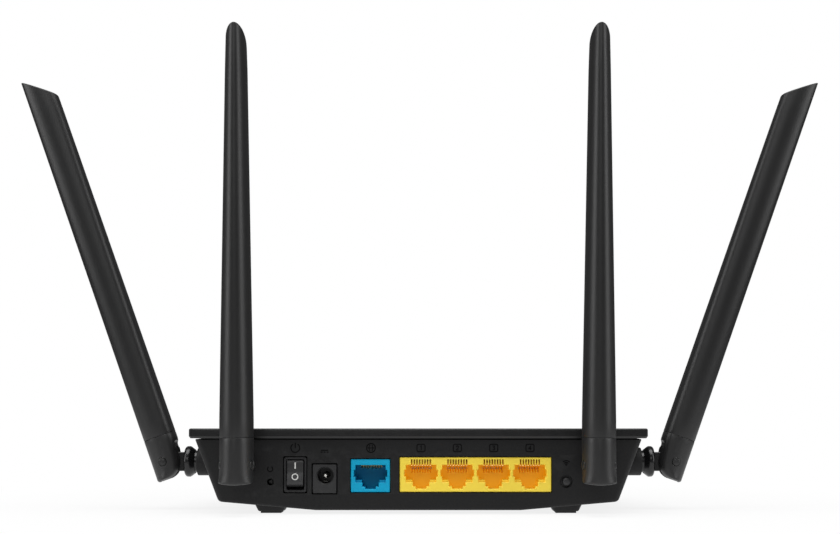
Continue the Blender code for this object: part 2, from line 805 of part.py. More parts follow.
def transformer(name, x, epoxy, parent):
    wide, deep, tall = TRANSFORMER_SIZE
    bm = bmesh.new()
    rounded_box(bm, (-wide / 2, 0, 0), (wide / 2, deep, tall), 0.0005)
    solid(name, bm, epoxy, parent, location=(x, TRANSFORMER_Y, BOARD_TOP + GAP))


def shield_can(name, x, tin, parent):
    """A pressed lid, open towards the board."""
    wide, deep, tall = CAN_SIZE
    bm = bmesh.new()

    def ring(inwards, z):
        a, b = wide / 2 - inwards, deep / 2 - inwards
        k = 0.0006
        return [(-a + k, -b, z), (a - k, -b, z), (a, -b + k, z), (a, b - k, z),
                (a - k, b, z), (-a + k, b, z), (-a, b - k, z), (-a, -b + k, z)]

    loft(bm, [
        ring(CAN_SKIN, tall - CAN_SKIN),
        ring(CAN_SKIN, 0.0),
        ring(0.0, 0.0),
        ring(0.0, tall - 0.0003),
        ring(0.0004, tall),
    ])
    place = (x, CAN_Y + deep / 2, BOARD_TOP + GAP)
    solid(name, bm, tin, parent, location=place)


def heat_sink(aluminium, parent):
    """An extruded comb of fins."""
    wide, deep, tall = SINK_SIZE
    space = (wide - SINK_FINS * SINK_FIN) / (SINK_FINS - 1)
    outline = [(-wide / 2, 0.0), (wide / 2, 0.0)]
    for i in range(SINK_FINS):
        right = wide / 2 - i * (SINK_FIN + space)
        left = right - SINK_FIN
        if i:
            outline.append((right, SINK_BASE))
        outline += [(right, tall), (left, tall)]
        if i < SINK_FINS - 1:
            outline.append((left, SINK_BASE))
    bm = bmesh.new()
    prism(bm, outline, "Y", 0.0, deep)
    solid("heat_sink", bm, aluminium, parent, location=(0, CAN_Y, BOARD_TOP + GAP))


# ---------------------------------------------------------------- jacks


def port_outline(x, top, combed):
    """Front outline of a modular port: contact comb, plug space with side bulges, stepped latch way."""
    bulge_top = top - BULGE_DOWN
    bulge_low = bulge_top - BULGE_HEIGHT
    bottom = top - PORT_HEIGHT
    step = bottom - LATCH_HEIGHTS[0]
    low = step - LATCH_HEIGHTS[1]
    half = [(LATCH_WIDTHS[1] / 2, low), (LATCH_WIDTHS[1] / 2, step), (LATCH_WIDTHS[0] / 2, step),
            (LATCH_WIDTHS[0] / 2, bottom), (PORT_WIDTH / 2, bottom), (PORT_WIDTH / 2, bulge_low),
            (BULGE_WIDTH / 2, bulge_low), (BULGE_WIDTH / 2, bulge_top), (PORT_WIDTH / 2, bulge_top),
            (PORT_WIDTH / 2, top)]
    if combed:
        half += [(COMB_WIDTH / 2, top), (COMB_WIDTH / 2, top + COMB_HEIGHT)]
    return [(x + u, v) for u, v in half] + [(x - u, v) for u, v in reversed(half)]


def lan_port_places():
    middle = (LAN_PORTS - 1) / 2
    return [LAN_CENTRE[0] + (i - middle) * PORT_PITCH for i in range(LAN_PORTS)]


def lan_port_top():
    return LAN_CENTRE[1] + LAN_SIZE[1] / 2 - LAN_PORT_DOWN


def wan_port_top():
    return WAN_CENTRE[1] + WAN_SIZE[1] / 2 - WAN_PORT_DOWN


def jack_block(bm, centre, size, depth):
    """A plain block behind the rear panel, its face set back a little."""
    low = (centre[0] - size[0] / 2, JACK_SETBACK, centre[1] - size[1] / 2)
    high = (centre[0] + size[0] / 2, JACK_SETBACK + depth, centre[1] + size[1] / 2)
    box(bm, low, high)


def port_block(name, centre, size, places, top, combed, resin, parent):
    bm = bmesh.new()
    jack_block(bm, centre, size, BLOCK_DEPTH)
    obj = solid(name, bm, resin, parent)
    ports = bmesh.new()
    for x in places:
        outline = port_outline(x, top, combed)
        prism(ports, outline, "Y", -WALL, JACK_SETBACK + PORT_DEPTH)
    cut(obj, ports)


def port_contacts(name, x, top, drop, gold, parent):
    """Eight spring wires that slope down into the port by drop, and join at its back."""
    lines = []
    for i in range(WIRES):
        middle = x + (i - (WIRES - 1) / 2) * WIRE_PITCH
        lines += [middle - WIRE_WIDTH / 2, middle + WIRE_WIDTH / 2]
    back = JACK_SETBACK + PORT_DEPTH - 0.0010
    path = [
        (back, top - drop / 2),
        (back - 0.0012, top - drop / 2),
        (back - 0.0030, top - drop),
        (JACK_SETBACK + 0.0036, top - 0.0007),
        (JACK_SETBACK + 0.0022, top - 0.0005),
    ]
    bm = bmesh.new()
    strip_solid(bm, lines, path, lambda i, j: j == 0 or i % 2 == 0, WIRE_THICKNESS)
    solid(name, bm, gold, parent)


def dc_jack(resin, nickel, parent):
    bm = bmesh.new()
    jack_block(bm, DC_CENTRE, DC_SIZE, DC_DEPTH)
    body = solid("dc_jack_body", bm, resin, parent)
    hole = bmesh.new()
    floor = JACK_SETBACK + DC_HOLE_DEPTH
    pin_hole = DC_PIN_RADIUS + GAP
    profile = [(DC_HOLE_RADIUS, -WALL), (DC_HOLE_RADIUS, floor), (pin_hole, floor), (pin_hole, 2 * DC_DEPTH)]
    turned(hole, profile, "Y", ROUND_SIDES, (DC_HOLE_X, DC_HOLE_Z))
    cut(body, hole)

    pin = bmesh.new()
    start = JACK_SETBACK + DC_PIN_SETBACK
    end = JACK_SETBACK + DC_DEPTH - GAP
    profile = [
        (DC_PIN_RADIUS * 0.4, start),
        (DC_PIN_RADIUS * 0.85, start + DC_PIN_RADIUS * 0.25),
        (DC_PIN_RADIUS, start + DC_PIN_RADIUS * 0.7),
        (DC_PIN_RADIUS, end),
    ]
    turned(pin, profile, "Y", SMALL_SIDES)
    solid("dc_jack_pin", pin, nickel, parent, location=(DC_HOLE_X, 0, DC_HOLE_Z))

    spring = bmesh.new()
    low = DC_HOLE_RADIUS * -0.78
    path = [
        (JACK_SETBACK + 0.0024, low + 0.0001),
        (JACK_SETBACK + 0.0034, low + 0.0005),
        (JACK_SETBACK + 0.0050, low + 0.0003),
        (floor - GAP, low - 0.0001),
    ]
    strip_solid(spring, [-0.0009, 0.0009], path, lambda i, j: True, 0.00025)
    solid("dc_jack_spring", spring, nickel, parent, location=(DC_HOLE_X, 0, DC_HOLE_Z))


# ---------------------------------------------------------------- switch and buttons


def power_switch_housing(resin, parent):
    """A deep frame with an open front, and sockets for the rocker's stubs."""
    bm = bmesh.new()
    jack_block(bm, SWITCH_CENTRE, SWITCH_SIZE, SWITCH_DEPTH)
    obj = solid("power_switch_housing", bm, resin, parent)
    half_x, half_z = SWITCH_OPENING[0] / 2, SWITCH_OPENING[1] / 2
    x, z = SWITCH_CENTRE
    cavity = bmesh.new()
    box(cavity, (x - half_x, -WALL, z - half_z), (x + half_x, SWITCH_DEPTH - SWITCH_BACK, z + half_z))
    cut(obj, cavity)
    sockets = bmesh.new()
    pivot = (JACK_SETBACK + PIVOT_DEPTH, z)
    reach = SWITCH_SIZE[0]
    prism(sockets, circle(ROCKER_STUB_RADIUS + GAP, SMALL_SIDES, pivot), "X", x - reach, x + reach)
    cut(obj, sockets)


def power_rocker(resin, parent):
    """The two-ended key, its origin on its pivot. At rest its upper end is pressed in."""
    half = ROCKER_FACE_HALF
    front = -(PIVOT_DEPTH + ROCKER_FACE_PROUD)
    outline = [
        (ROCKER_BACK, -0.0046), (-0.0020, -0.0050), (front + 0.0002, -half), (front, -half + 0.0003),
        (front + 0.0006, 0.0),
        (front, half - 0.0003), (front + 0.0002, half), (-0.0020, 0.0050), (ROCKER_BACK, 0.0046),
    ]
    half_width = SWITCH_OPENING[0] / 2 - GAP
    bm = bmesh.new()
    prism(bm, outline, "X", -half_width, half_width)
    place = (SWITCH_CENTRE[0], JACK_SETBACK + PIVOT_DEPTH, SWITCH_CENTRE[1])
    obj = solid("power_rocker", bm, resin, parent, place, (-ROCKER_TILT, 0, 0))
    stubs = bmesh.new()
    reach = SWITCH_SIZE[0] / 2 - GAP
    prism(stubs, circle(ROCKER_STUB_RADIUS, SMALL_SIDES), "X", -reach, reach)
    add(obj, stubs)


def wps_button(resin, parent):
    flange = WALL + GAP
    bm = bmesh.new()
    profile = [
        (WPS_CAP_RADIUS * 0.8, -WPS_PROUD),
        (WPS_CAP_RADIUS, -WPS_PROUD + 0.0003),
        (WPS_CAP_RADIUS, flange),
        (BUTTON_FLANGE_RADIUS, flange),
        (BUTTON_FLANGE_RADIUS, flange + BUTTON_FLANGE),
        (BUTTON_STEM_RADIUS, flange + BUTTON_FLANGE),
        (BUTTON_STEM_RADIUS, BUTTON_STEM_END),
    ]
    turned(bm, profile, "Y", ROUND_SIDES)
    solid("wps_button", bm, resin, parent, location=(WPS_CENTRE[0], 0, WPS_CENTRE[1]))


def tact_body(centre, start):
    """A right-angle switch body standing on the board."""
    wide, deep, tall = TACT_SIZE
    low = BOARD_TOP + GAP - centre[1]
    bm = bmesh.new()
    box(bm, (-wide / 2, start, low), (wide / 2, start + deep, low + tall))
    return bm


def wps_switch(resin, parent):
    start = BUTTON_STEM_END + BUTTON_TRAVEL + GAP
    body = tact_body(WPS_CENTRE, start + BUTTON_TRAVEL)
    obj = solid("wps_switch", body, resin, parent, location=(WPS_CENTRE[0], 0, WPS_CENTRE[1]))
    nub = bmesh.new()
    prism(nub, circle(BUTTON_STEM_RADIUS, SMALL_SIDES), "Y", start, start + 2 * BUTTON_TRAVEL)
    add(obj, nub)


def reset_switch(resin, parent):
    body = tact_body(RESET_CENTRE, RESET_TACT_Y)
    place = (RESET_CENTRE[0], 0, RESET_CENTRE[1])
    obj = solid("reset_switch", body, resin, parent, location=place)
    hole = bmesh.new()
    prism(hole, circle(PLUNGER_RADIUS + GAP, SMALL_SIDES), "Y", 0.0, RESET_TACT_Y + PLUNGER_DEPTH)
    cut(obj, hole)


def reset_plunger(resin, parent):
    end = RESET_TACT_Y + PLUNGER_DEPTH - BUTTON_TRAVEL - GAP
    bm = bmesh.new()
    profile = [
        (PLUNGER_RADIUS * 0.7, PLUNGER_START),
        (PLUNGER_RADIUS, PLUNGER_START + 0.0002),
        (PLUNGER_RADIUS, end),
    ]
    turned(bm, profile, "Y", SMALL_SIDES)
    solid("reset_plunger", bm, resin, parent, location=(RESET_CENTRE[0], 0, RESET_CENTRE[1]))


# ---------------------------------------------------------------- antennas


def inner_reach(z):
    """Reach of the inner face from the pin: it narrows to the tip, and is round about the pin below it."""
    if z < 0:
        return math.sqrt(max(INNER_REACH_LOW**2 - z**2, 0.0))
    return INNER_REACH_LOW + (INNER_REACH_TIP - INNER_REACH_LOW) * z / ANTENNA_TIP


def half_width(z):
    """Half the face-on width: even from the hinge to where the taper starts, then narrowing to the tip."""
    share = min(max(z - TAPER_START, 0.0) / (ANTENNA_TIP - TAPER_START), 1.0)
    return HALF_WIDTH_LOW + (HALF_WIDTH_TIP - HALF_WIDTH_LOW) * share


def section(half, outer, inner):
    """One section: half an ellipse on the outer side, and a fuller, flatter curve on the inner side."""
    widest = outer + (inner - outer) * WIDEST_SHARE
    points = []
    for i in range(-6, 7):
        a = i / 6 * math.pi / 2
        points.append((half * math.sin(a), widest - (widest - outer) * math.cos(a)))
    for i in range(1, 6):
        a = i / 6 * math.pi
        across, back = math.cos(a), math.sin(a)
        x = half * math.copysign(abs(across) ** SQUARENESS, across)
        points.append((x, widest + (inner - widest) * back**SQUARENESS))
    return points


def antenna_ring(z, grow=0.0, outer=-OUTER_REACH):
    """A level ring of the antenna at height z, every side moved out by grow."""
    return [(x, y, z) for x, y in section(half_width(z) + grow, outer - grow, inner_reach(z) + grow)]


def slanted_ring(grow, below):
    """The ring where the tip is cut, its outer side longest."""
    ring = antenna_ring(ANTENNA_TIP, grow)
    outer = -OUTER_REACH
    return [(x, y, ANTENNA_TIP - below - (y - outer) * math.tan(TIP_SLANT)) for x, y, _ in ring]


def antenna_sleeve(name, resin, pin):
    start = SEAM_HEIGHT + GAP
    blind = ANTENNA_TIP * 0.86
    rings = [
        antenna_ring(blind, -SLEEVE_WALL),
        antenna_ring(start, -SLEEVE_WALL),
        antenna_ring(start, -TIP_ROUND / 2),
        antenna_ring(start + TIP_ROUND / 2),
        antenna_ring(ANTENNA_TIP * 0.3),
        antenna_ring(ANTENNA_TIP * 0.6),
        antenna_ring(ANTENNA_TIP * 0.9),
        slanted_ring(0.0, TIP_ROUND),
        slanted_ring(-TIP_ROUND, 0.0),
    ]
    bm = bmesh.new()
    loft(bm, rings)
    return solid(name, bm, resin, pin)


def housing_shell():
    """The solid lower body with its spigot for the sleeve."""
    bottom = -ANTENNA_BOTTOM
    corner = BOTTOM_CORNER
    spigot = SLEEVE_WALL + GAP
    top = SEAM_HEIGHT
    rings = [
        antenna_ring(bottom, HOUSING_PROUD, -OUTER_REACH + corner),
        antenna_ring(bottom + corner, HOUSING_PROUD),
        antenna_ring(bottom * 0.62, HOUSING_PROUD),
        antenna_ring(bottom * 0.36, HOUSING_PROUD),
        antenna_ring(0.0, HOUSING_PROUD),
        antenna_ring(top - TIP_ROUND / 2, HOUSING_PROUD),
        antenna_ring(top, HOUSING_PROUD - TIP_ROUND / 2),
        antenna_ring(top, -spigot),
        antenna_ring(top + SPIGOT_HEIGHT, -spigot),
    ]
    bm = bmesh.new()
    loft(bm, rings)
    return bm


def tongue_slot():
    """Space that the tongue sweeps: open to the inner side and downwards, round about the pin."""
    reach = TONGUE_RADIUS + SLOT_CLEARANCE
    far = 2 * INNER_REACH_LOW
    arc = [math.radians(90 + 15 * i) for i in range(7)]
    outline = [(far, reach)] + [(reach * math.cos(a), reach * math.sin(a)) for a in arc]
    outline += [(-reach, -far), (far, -far)]
    half = TONGUE_HALF_WIDTH + GAP
    bm = bmesh.new()
    prism(bm, outline, "X", -half, half)
    return bm


def antenna_housing(name, resin, pin):
    obj = solid(name, housing_shell(), resin, pin)
    cut(obj, tongue_slot())
    hole = bmesh.new()
    wide = 2 * HALF_WIDTH_LOW
    prism(hole, circle(PIN_RADIUS + GAP, SMALL_SIDES), "X", -wide, wide)
    scallop = circle(SCALLOP_RADIUS, SMALL_SIDES, (INNER_REACH_LOW + SCALLOP_RADIUS / 2, SCALLOP_HEIGHT))
    prism(hole, scallop, "X", -wide, wide)
    cut(obj, hole)
    return obj


def hinge_pin(name, steel, pin):
    half = HALF_WIDTH_LOW - 0.0006
    edge = 0.0002
    bm = bmesh.new()
    profile = [(PIN_RADIUS - edge, -half), (PIN_RADIUS, -half + edge), (PIN_RADIUS, half - edge),
               (PIN_RADIUS - edge, half)]
    turned(bm, profile, "X", SMALL_SIDES)
    return solid(name, bm, steel, pin)


def radiating_element(name, copper, pin):
    """A thin strip up the middle of the sleeve, waisted where its two halves meet."""
    low = SEAM_HEIGHT + SPIGOT_HEIGHT + 2 * GAP
    high = ANTENNA_TIP * 0.80
    wide, waist = 0.0017, 0.0007
    middle = (low + high) / 2
    outline = [(-wide, low), (wide, low), (wide, middle - wide), (waist, middle), (wide, middle + wide),
               (wide, high), (-wide, high), (-wide, middle + wide), (-waist, middle), (-wide, middle - wide)]
    bm = bmesh.new()
    prism(bm, outline, "Y", 0.0006, 0.0014)
    return solid(name, bm, copper, pin)


def swivel_base(name, resin, pin):
    """Flange, neck and split collar that turn in the case, with a tongue that carries the pin."""
    flange_end = FLANGE_START + FLANGE_THICKNESS
    collar = PIN_FROM_BOSS + BOSS_LENGTH + GAP
    end = collar + COLLAR_LENGTH
    bm = bmesh.new()
    profile = [
        (FLANGE_RADIUS - 0.0003, FLANGE_START),
        (FLANGE_RADIUS, FLANGE_START + 0.0003),
        (FLANGE_RADIUS, flange_end - 0.0014),
        (FLANGE_RADIUS - 0.0010, flange_end),
        (NECK_RADIUS, flange_end),
        (NECK_RADIUS, collar),
        (COLLAR_RADIUS, collar),
        (COLLAR_RADIUS, collar + COLLAR_LENGTH * 0.4),
        (NECK_RADIUS, end),
    ]
    turned(bm, profile, "Y", ROUND_SIDES)
    obj = solid(name, bm, resin, pin)

    tongue = bmesh.new()
    arc = [math.radians(90 + 20 * i) for i in range(10)]
    outline = [(TONGUE_RADIUS * math.cos(a), TONGUE_RADIUS * math.sin(a)) for a in arc]
    deep = FLANGE_START + FLANGE_THICKNESS / 2
    outline += [(deep, -TONGUE_RADIUS), (deep, TONGUE_RADIUS)]
    prism(tongue, outline, "X", -TONGUE_HALF_WIDTH, TONGUE_HALF_WIDTH)
    add(obj, tongue)

    holes = bmesh.new()
    prism(holes, circle(PIN_RADIUS + GAP, SMALL_SIDES), "X", -FLANGE_RADIUS, FLANGE_RADIUS)
    prism(holes, circle(BORE_RADIUS, SMALL_SIDES), "Y", flange_end, end + WALL)
    cut(obj, holes)
    split = bmesh.new()
    start = PIN_FROM_BOSS + BOSS_LENGTH / 2
    tall = 2 * COLLAR_RADIUS
    box(split, (-SPLIT_HALF_WIDTH, start, -tall), (SPLIT_HALF_WIDTH, end + WALL, tall))
    cut(obj, split)
    return obj


def smooth_path(points, steps):
    """Points on a smooth curve through the given ones (a uniform Catmull-Rom curve)."""
    knots = [Vector(p) for p in points]
    knots = [2 * knots[0] - knots[1]] + knots + [2 * knots[-1] - knots[-2]]
    path = []
    for a, b, c, d in zip(knots, knots[1:], knots[2:], knots[3:]):
        for i in range(steps):
            t = i / steps
            path.append(0.5 * (2 * b + (c - a) * t + (2 * a - 5 * b + 4 * c - d) * t**2
                               + (3 * b - a - 3 * c + d) * t**3))
    return path + [knots[-2]]


def coax_lead(name, points, jacket, parent):
    """A thin lead from the board to the mouth of a swivel base's bore."""
    curve = bpy.data.curves.new(name, "CURVE")
    curve.dimensions = "3D"
    curve.bevel_depth = LEAD_RADIUS
    curve.bevel_resolution = 2
    curve.use_fill_caps = True
    path = smooth_path(points, 3)
    spline = curve.splines.new("POLY")
    spline.points.add(len(path) - 1)
    for point, place in zip(spline.points, path):
        point.co = (*place, 1.0)
    curve.materials.append(jacket)
    obj = bpy.data.objects.new(name, curve)
    bpy.context.collection.objects.link(obj)
    obj.parent = parent


def coax_leads(jacket, parent):
    low = BOARD_TOP + 2 * GAP + LEAD_RADIUS
    mouth_y = BOSS_LENGTH + COLLAR_LENGTH - REAR_BOSS_PROUD
    mouth_x = SIDE_BOSS_FACE_X - BOSS_LENGTH - COLLAR_LENGTH
    z = ANTENNA_AXIS_Z
    fall = z - low
    for side, word in zip(SIDES, ("left", "right")):
        x = side * REAR_ANTENNA_X
        end_x, end_y = side * REAR_LEAD_END[0], REAR_LEAD_END[1]
        rear = [
            (x, mouth_y - 0.0005, z),
            (x, mouth_y + 0.003, z),
            (x - side * 0.004, mouth_y + 0.009, z - 0.18 * fall),
            (x - side * 0.010, end_y - 0.007, z - 0.55 * fall),
            (end_x, end_y - 0.001, low + 0.0018),
            (end_x, end_y + 0.002, low),
        ]
        coax_lead(f"rear_{word}_coax_lead", rear, jacket, parent)
        x = side * mouth_x
        y = SIDE_ANTENNA_Y
        end_x, end_y = side * SIDE_LEAD_END[0], SIDE_LEAD_END[1]
        flank = [
            (x + side * 0.0005, y, z),
            (x - side * 0.003, y, z),
            (x - side * 0.010, y + 0.001, z - 0.27 * fall),
            (x - side * 0.017, y + 0.001, z - 0.73 * fall),
            (end_x + side * 0.001, end_y + 0.002, low + 0.0015),
            (end_x, end_y, low),
        ]
        coax_lead(f"side_{word}_coax_lead", flank, jacket, parent)


def antennas(antenna_black, base_black, steel, copper, parent):
    """Two antennas behind the rear panel and two at the ends. Each hangs on an empty at its pin."""
    rear_y = -(REAR_BOSS_PROUD + PIN_FROM_BOSS)
    side_x = SIDE_BOSS_FACE_X + PIN_FROM_BOSS
    quarter = math.pi / 2
    stations = [
        ("rear_left", (-REAR_ANTENNA_X, rear_y), (0, -REAR_LEAN, 0), 0.0),
        ("rear_right", (REAR_ANTENNA_X, rear_y), (0, REAR_LEAN, 0), 0.0),
        ("side_left", (-side_x, SIDE_ANTENNA_Y), (0, 0, -quarter), SIDE_LEAN),
        ("side_right", (side_x, SIDE_ANTENNA_Y), (0, 0, quarter), SIDE_LEAN),
    ]
    first = {}
    for word, (x, y), facing, lean in stations:
        pin = empty(f"{word}_pin_axis", (x, y, ANTENNA_AXIS_Z), facing, parent)
        makers = {
            "antenna_base": lambda name: swivel_base(name, base_black, pin),
            "hinge_pin": lambda name: hinge_pin(name, steel, pin),
            "antenna_housing": lambda name: antenna_housing(name, antenna_black, pin),
            "antenna_sleeve": lambda name: antenna_sleeve(name, antenna_black, pin),
            "radiating_element": lambda name: radiating_element(name, copper, pin),
        }
        for part, make in makers.items():
            turn = (0.0 if part == "antenna_base" else lean, 0, 0)
            if part not in first:
                first[part] = make(f"{word}_{part}")
            else:
                copy_of(first[part], f"{word}_{part}", pin, rotation=turn)


# ---------------------------------------------------------------- assembly


def build():
    clear_scene()
    case_black = finish("case_black", (0.024, 0.024, 0.026), 0.55)
    lid_black = finish("lid_black", (0.018, 0.018, 0.019), 0.45)
    antenna_black = finish("antenna_black", (0.035, 0.035, 0.037), 0.45)
    base_black = finish("swivel_black", (0.015, 0.015, 0.016), 0.25)
    switch_black = finish("switch_black", (0.030, 0.030, 0.032), 0.30)
    lan_yellow = finish("lan_yellow", (0.93, 0.72, 0.08), 0.45)
    wan_blue = finish("wan_blue", (0.01, 0.37, 0.64), 0.45)
    gold = finish("contact_gold", (0.85, 0.60, 0.25), 0.3, 1.0)
    nickel = finish("nickel", (0.75, 0.74, 0.70), 0.3, 1.0)
    steel = finish("screw_steel", (0.45, 0.45, 0.46), 0.4, 1.0)
    laminate = finish("board_green", (0.02, 0.12, 0.06), 0.5)
    tin = finish("shield_tin", (0.62, 0.62, 0.60), 0.35, 1.0)
    aluminium = finish("sink_aluminium", (0.60, 0.60, 0.61), 0.4, 1.0)
    epoxy = finish("epoxy_black", (0.02, 0.02, 0.02), 0.5)
    rubber = finish("pad_rubber", (0.03, 0.03, 0.03), 0.8)
    paper = finish("label_white", (0.75, 0.75, 0.74), 0.6)
    clear = finish("light_guide_clear", (0.80, 0.82, 0.84), 0.2)
    copper = finish("element_copper", (0.72, 0.40, 0.22), 0.4, 1.0)
    jacket = finish("coax_jacket", (0.10, 0.10, 0.11), 0.5)

    router = empty("router", (0, ROUTER_Y, 0))
    base_case(case_black, router)
    top_cover(lid_black, router)
    light_guide(clear, router)
    rating_label(paper, router)
    foot_pads(rubber, router)
    case_screws(steel, router)

    main_board(laminate, router)
    board_screws(steel, router)
    ports = lan_port_places()
    port_block("lan_jack_block", LAN_CENTRE, LAN_SIZE, ports, lan_port_top(), True, lan_yellow, router)
    for i, x in enumerate(ports):
        comb_top = lan_port_top() + COMB_HEIGHT
        port_contacts(f"lan_contacts_{i + 1}", x, comb_top, LAN_CONTACT_DROP, gold, router)
    port_block("wan_jack", WAN_CENTRE, WAN_SIZE, [WAN_CENTRE[0]], wan_port_top(), False, wan_blue, router)
    port_contacts("wan_contacts", WAN_CENTRE[0], wan_port_top(), WAN_CONTACT_DROP, gold, router)
    dc_jack(epoxy, nickel, router)
    transformer("lan_transformer", LAN_CENTRE[0], epoxy, router)
    transformer("wan_transformer", WAN_CENTRE[0], epoxy, router)
    shield_can("shield_can_2g", -CAN_X, tin, router)
    shield_can("shield_can_5g", CAN_X, tin, router)
    heat_sink(aluminium, router)

    power_switch_housing(switch_black, router)
    power_rocker(switch_black, router)
    wps_button(switch_black, router)
    wps_switch(epoxy, router)
    reset_switch(epoxy, router)
    reset_plunger(epoxy, router)

    coax_leads(jacket, router)
    antennas(antenna_black, base_black, steel, copper, router)


build()
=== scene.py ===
# %% [markdown]
# # A wireless router seen from its jack side
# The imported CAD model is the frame: it holds every true size and every joint. This lesson dresses it.
# Most outer pieces are built again with rounder edges and finer detail, each exactly where the CAD piece
# stands, and each rides on the same moving body. Pieces that are only seen through a gap keep their CAD
# shape and get a better finish.

# %% Load the frame
import json
import math

import bmesh
import bpy
from mathutils import Matrix, Vector


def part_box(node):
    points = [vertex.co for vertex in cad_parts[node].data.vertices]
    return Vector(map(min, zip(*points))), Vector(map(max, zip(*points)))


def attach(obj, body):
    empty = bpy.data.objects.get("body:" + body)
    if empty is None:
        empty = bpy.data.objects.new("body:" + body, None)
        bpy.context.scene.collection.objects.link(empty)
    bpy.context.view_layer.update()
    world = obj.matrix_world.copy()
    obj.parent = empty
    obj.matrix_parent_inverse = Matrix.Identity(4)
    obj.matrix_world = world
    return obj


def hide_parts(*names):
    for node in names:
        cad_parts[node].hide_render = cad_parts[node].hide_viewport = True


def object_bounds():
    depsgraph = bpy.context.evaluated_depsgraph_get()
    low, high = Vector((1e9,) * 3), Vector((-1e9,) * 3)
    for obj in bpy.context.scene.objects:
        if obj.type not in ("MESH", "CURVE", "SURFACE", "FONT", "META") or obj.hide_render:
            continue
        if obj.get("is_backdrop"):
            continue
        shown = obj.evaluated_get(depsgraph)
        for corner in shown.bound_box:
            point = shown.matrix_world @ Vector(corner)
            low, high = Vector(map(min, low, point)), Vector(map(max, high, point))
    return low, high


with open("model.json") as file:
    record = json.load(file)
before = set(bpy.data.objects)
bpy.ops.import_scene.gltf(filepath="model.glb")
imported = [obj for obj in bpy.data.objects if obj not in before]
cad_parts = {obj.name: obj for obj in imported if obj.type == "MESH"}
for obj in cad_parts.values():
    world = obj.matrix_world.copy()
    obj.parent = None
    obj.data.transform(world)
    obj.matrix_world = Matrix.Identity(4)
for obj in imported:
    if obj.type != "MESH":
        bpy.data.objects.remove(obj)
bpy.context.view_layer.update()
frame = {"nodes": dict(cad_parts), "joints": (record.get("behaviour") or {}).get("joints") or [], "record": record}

for startup in ("Cube", "Camera", "Light"):
    if startup in bpy.data.objects:
        bpy.data.objects.remove(bpy.data.objects[startup])

# %% [markdown]
# ## Helpers for shapes
# A moulded part is mostly an outline pushed along a line, or a stack of outlines joined with quads, so two
# small functions make nearly everything here. A stack (a loft) keeps neat rows of faces, which shade
# smoothly. Corners are rounded in the outline itself, so that the curve is real geometry.

# %% Outlines and lofts
def loft(bm, rings, capped=True):
    """Joins rings of points with quads and closes both ends."""
    rows = [[bm.verts.new(point) for point in ring] for ring in rings]
    count = len(rings[0])
    for low, high in zip(rows, rows[1:]):
        for i in range(count):
            j = (i + 1) % count
            bm.faces.new((low[i], low[j], high[j], high[i]))
    if capped:
        bm.faces.new(rows[0])
        bm.faces.new(rows[-1])
    return rows


def along(axis, u, v, w):
    """The point with w along the axis and u, v along the other two in X, Y, Z order."""
    return {"X": (w, u, v), "Y": (u, w, v), "Z": (u, v, w)}[axis]


def prism(bm, outline, axis, start, end):
    """A 2-D outline pushed along an axis."""
    loft(bm, [[along(axis, u, v, w) for u, v in outline] for w in (start, end)])


def box(bm, low, high):
    """A block between two corners."""
    corners = [(low[0], low[1]), (high[0], low[1]), (high[0], high[1]), (low[0], high[1])]
    prism(bm, corners, "Z", low[2], high[2])


def circle(radius, sides, centre=(0.0, 0.0)):
    """Points round a circle."""
    step = 2 * math.pi / sides
    turns = [i * step for i in range(sides)]
    return [(centre[0] + radius * math.cos(a), centre[1] + radius * math.sin(a)) for a in turns]


def turned(bm, profile, axis, sides, centre=(0.0, 0.0)):
    """A turned solid from (radius, place along the axis) pairs."""
    loft(bm, [[along(axis, u, v, w) for u, v in circle(r, sides, centre)] for r, w in profile])


def inset(outline, distance):
    """The closed counter-clockwise outline moved inwards."""
    moved = []
    count = len(outline)
    for i in range(count):
        before, here, after = (Vector(outline[(i + k) % count]) for k in (-1, 0, 1))
        first = (here - before).normalized()
        second = (after - here).normalized()
        normal_a = Vector((-first.y, first.x))
        normal_b = Vector((-second.y, second.x))
        middle = normal_a + normal_b
        moved.append(tuple(here + middle * (distance / (1.0 + normal_a.dot(normal_b)))))
    return moved


def rounded(corners, radii, steps=5):
    """The outline with each corner turned into an arc. A radius of 0 keeps the corner."""
    points = []
    count = len(corners)
    for i, radius in enumerate(radii):
        here = Vector(corners[i])
        if radius <= 0:
            points.append(tuple(here))
            continue
        back = (Vector(corners[i - 1]) - here).normalized()
        ahead = (Vector(corners[(i + 1) % count]) - here).normalized()
        half = math.acos(max(-1.0, min(1.0, back.dot(ahead)))) / 2
        centre = here + (back + ahead).normalized() * (radius / math.sin(half))
        reach = radius / math.tan(half)
        start = (here + back * reach - centre).normalized()
        end = (here + ahead * reach - centre).normalized()
        for k in range(steps + 1):
            points.append(tuple(centre + start.slerp(end, k / steps) * radius))
    return points


def stack(bm, outline, steps):
    """The outline at several depths behind the panel, as pairs of depth and how far it is moved inwards."""
    loft(bm, [[(u, w, v) for u, v in inset(outline, inwards)] for w, inwards in steps])


def rounded_rectangle(centre, size, radius, steps=4):
    """A rectangle's outline with round corners."""
    (x, y), (w, h) = centre, size
    a, b, c, d = x - w / 2, x + w / 2, y - h / 2, y + h / 2
    return rounded([(a, c), (b, c), (b, d), (a, d)], [radius] * 4, steps)


# %% [markdown]
# ## Helpers for pieces
# Each finished mesh goes on the body it moves with, hides the CAD pieces it stands for and takes the finish
# of its material slot. Holes are cut with Booleans that are applied at once, so that no hidden tools stay in
# the file. A Bevel modifier can give a part the small edge radius of a moulded part; here only the rocker gets
# one.

# %% Pieces, cuts and soft edges
SMOOTH_ANGLE, FLAT_ANGLE = math.radians(34), math.radians(0.3)
WELD = 2e-6


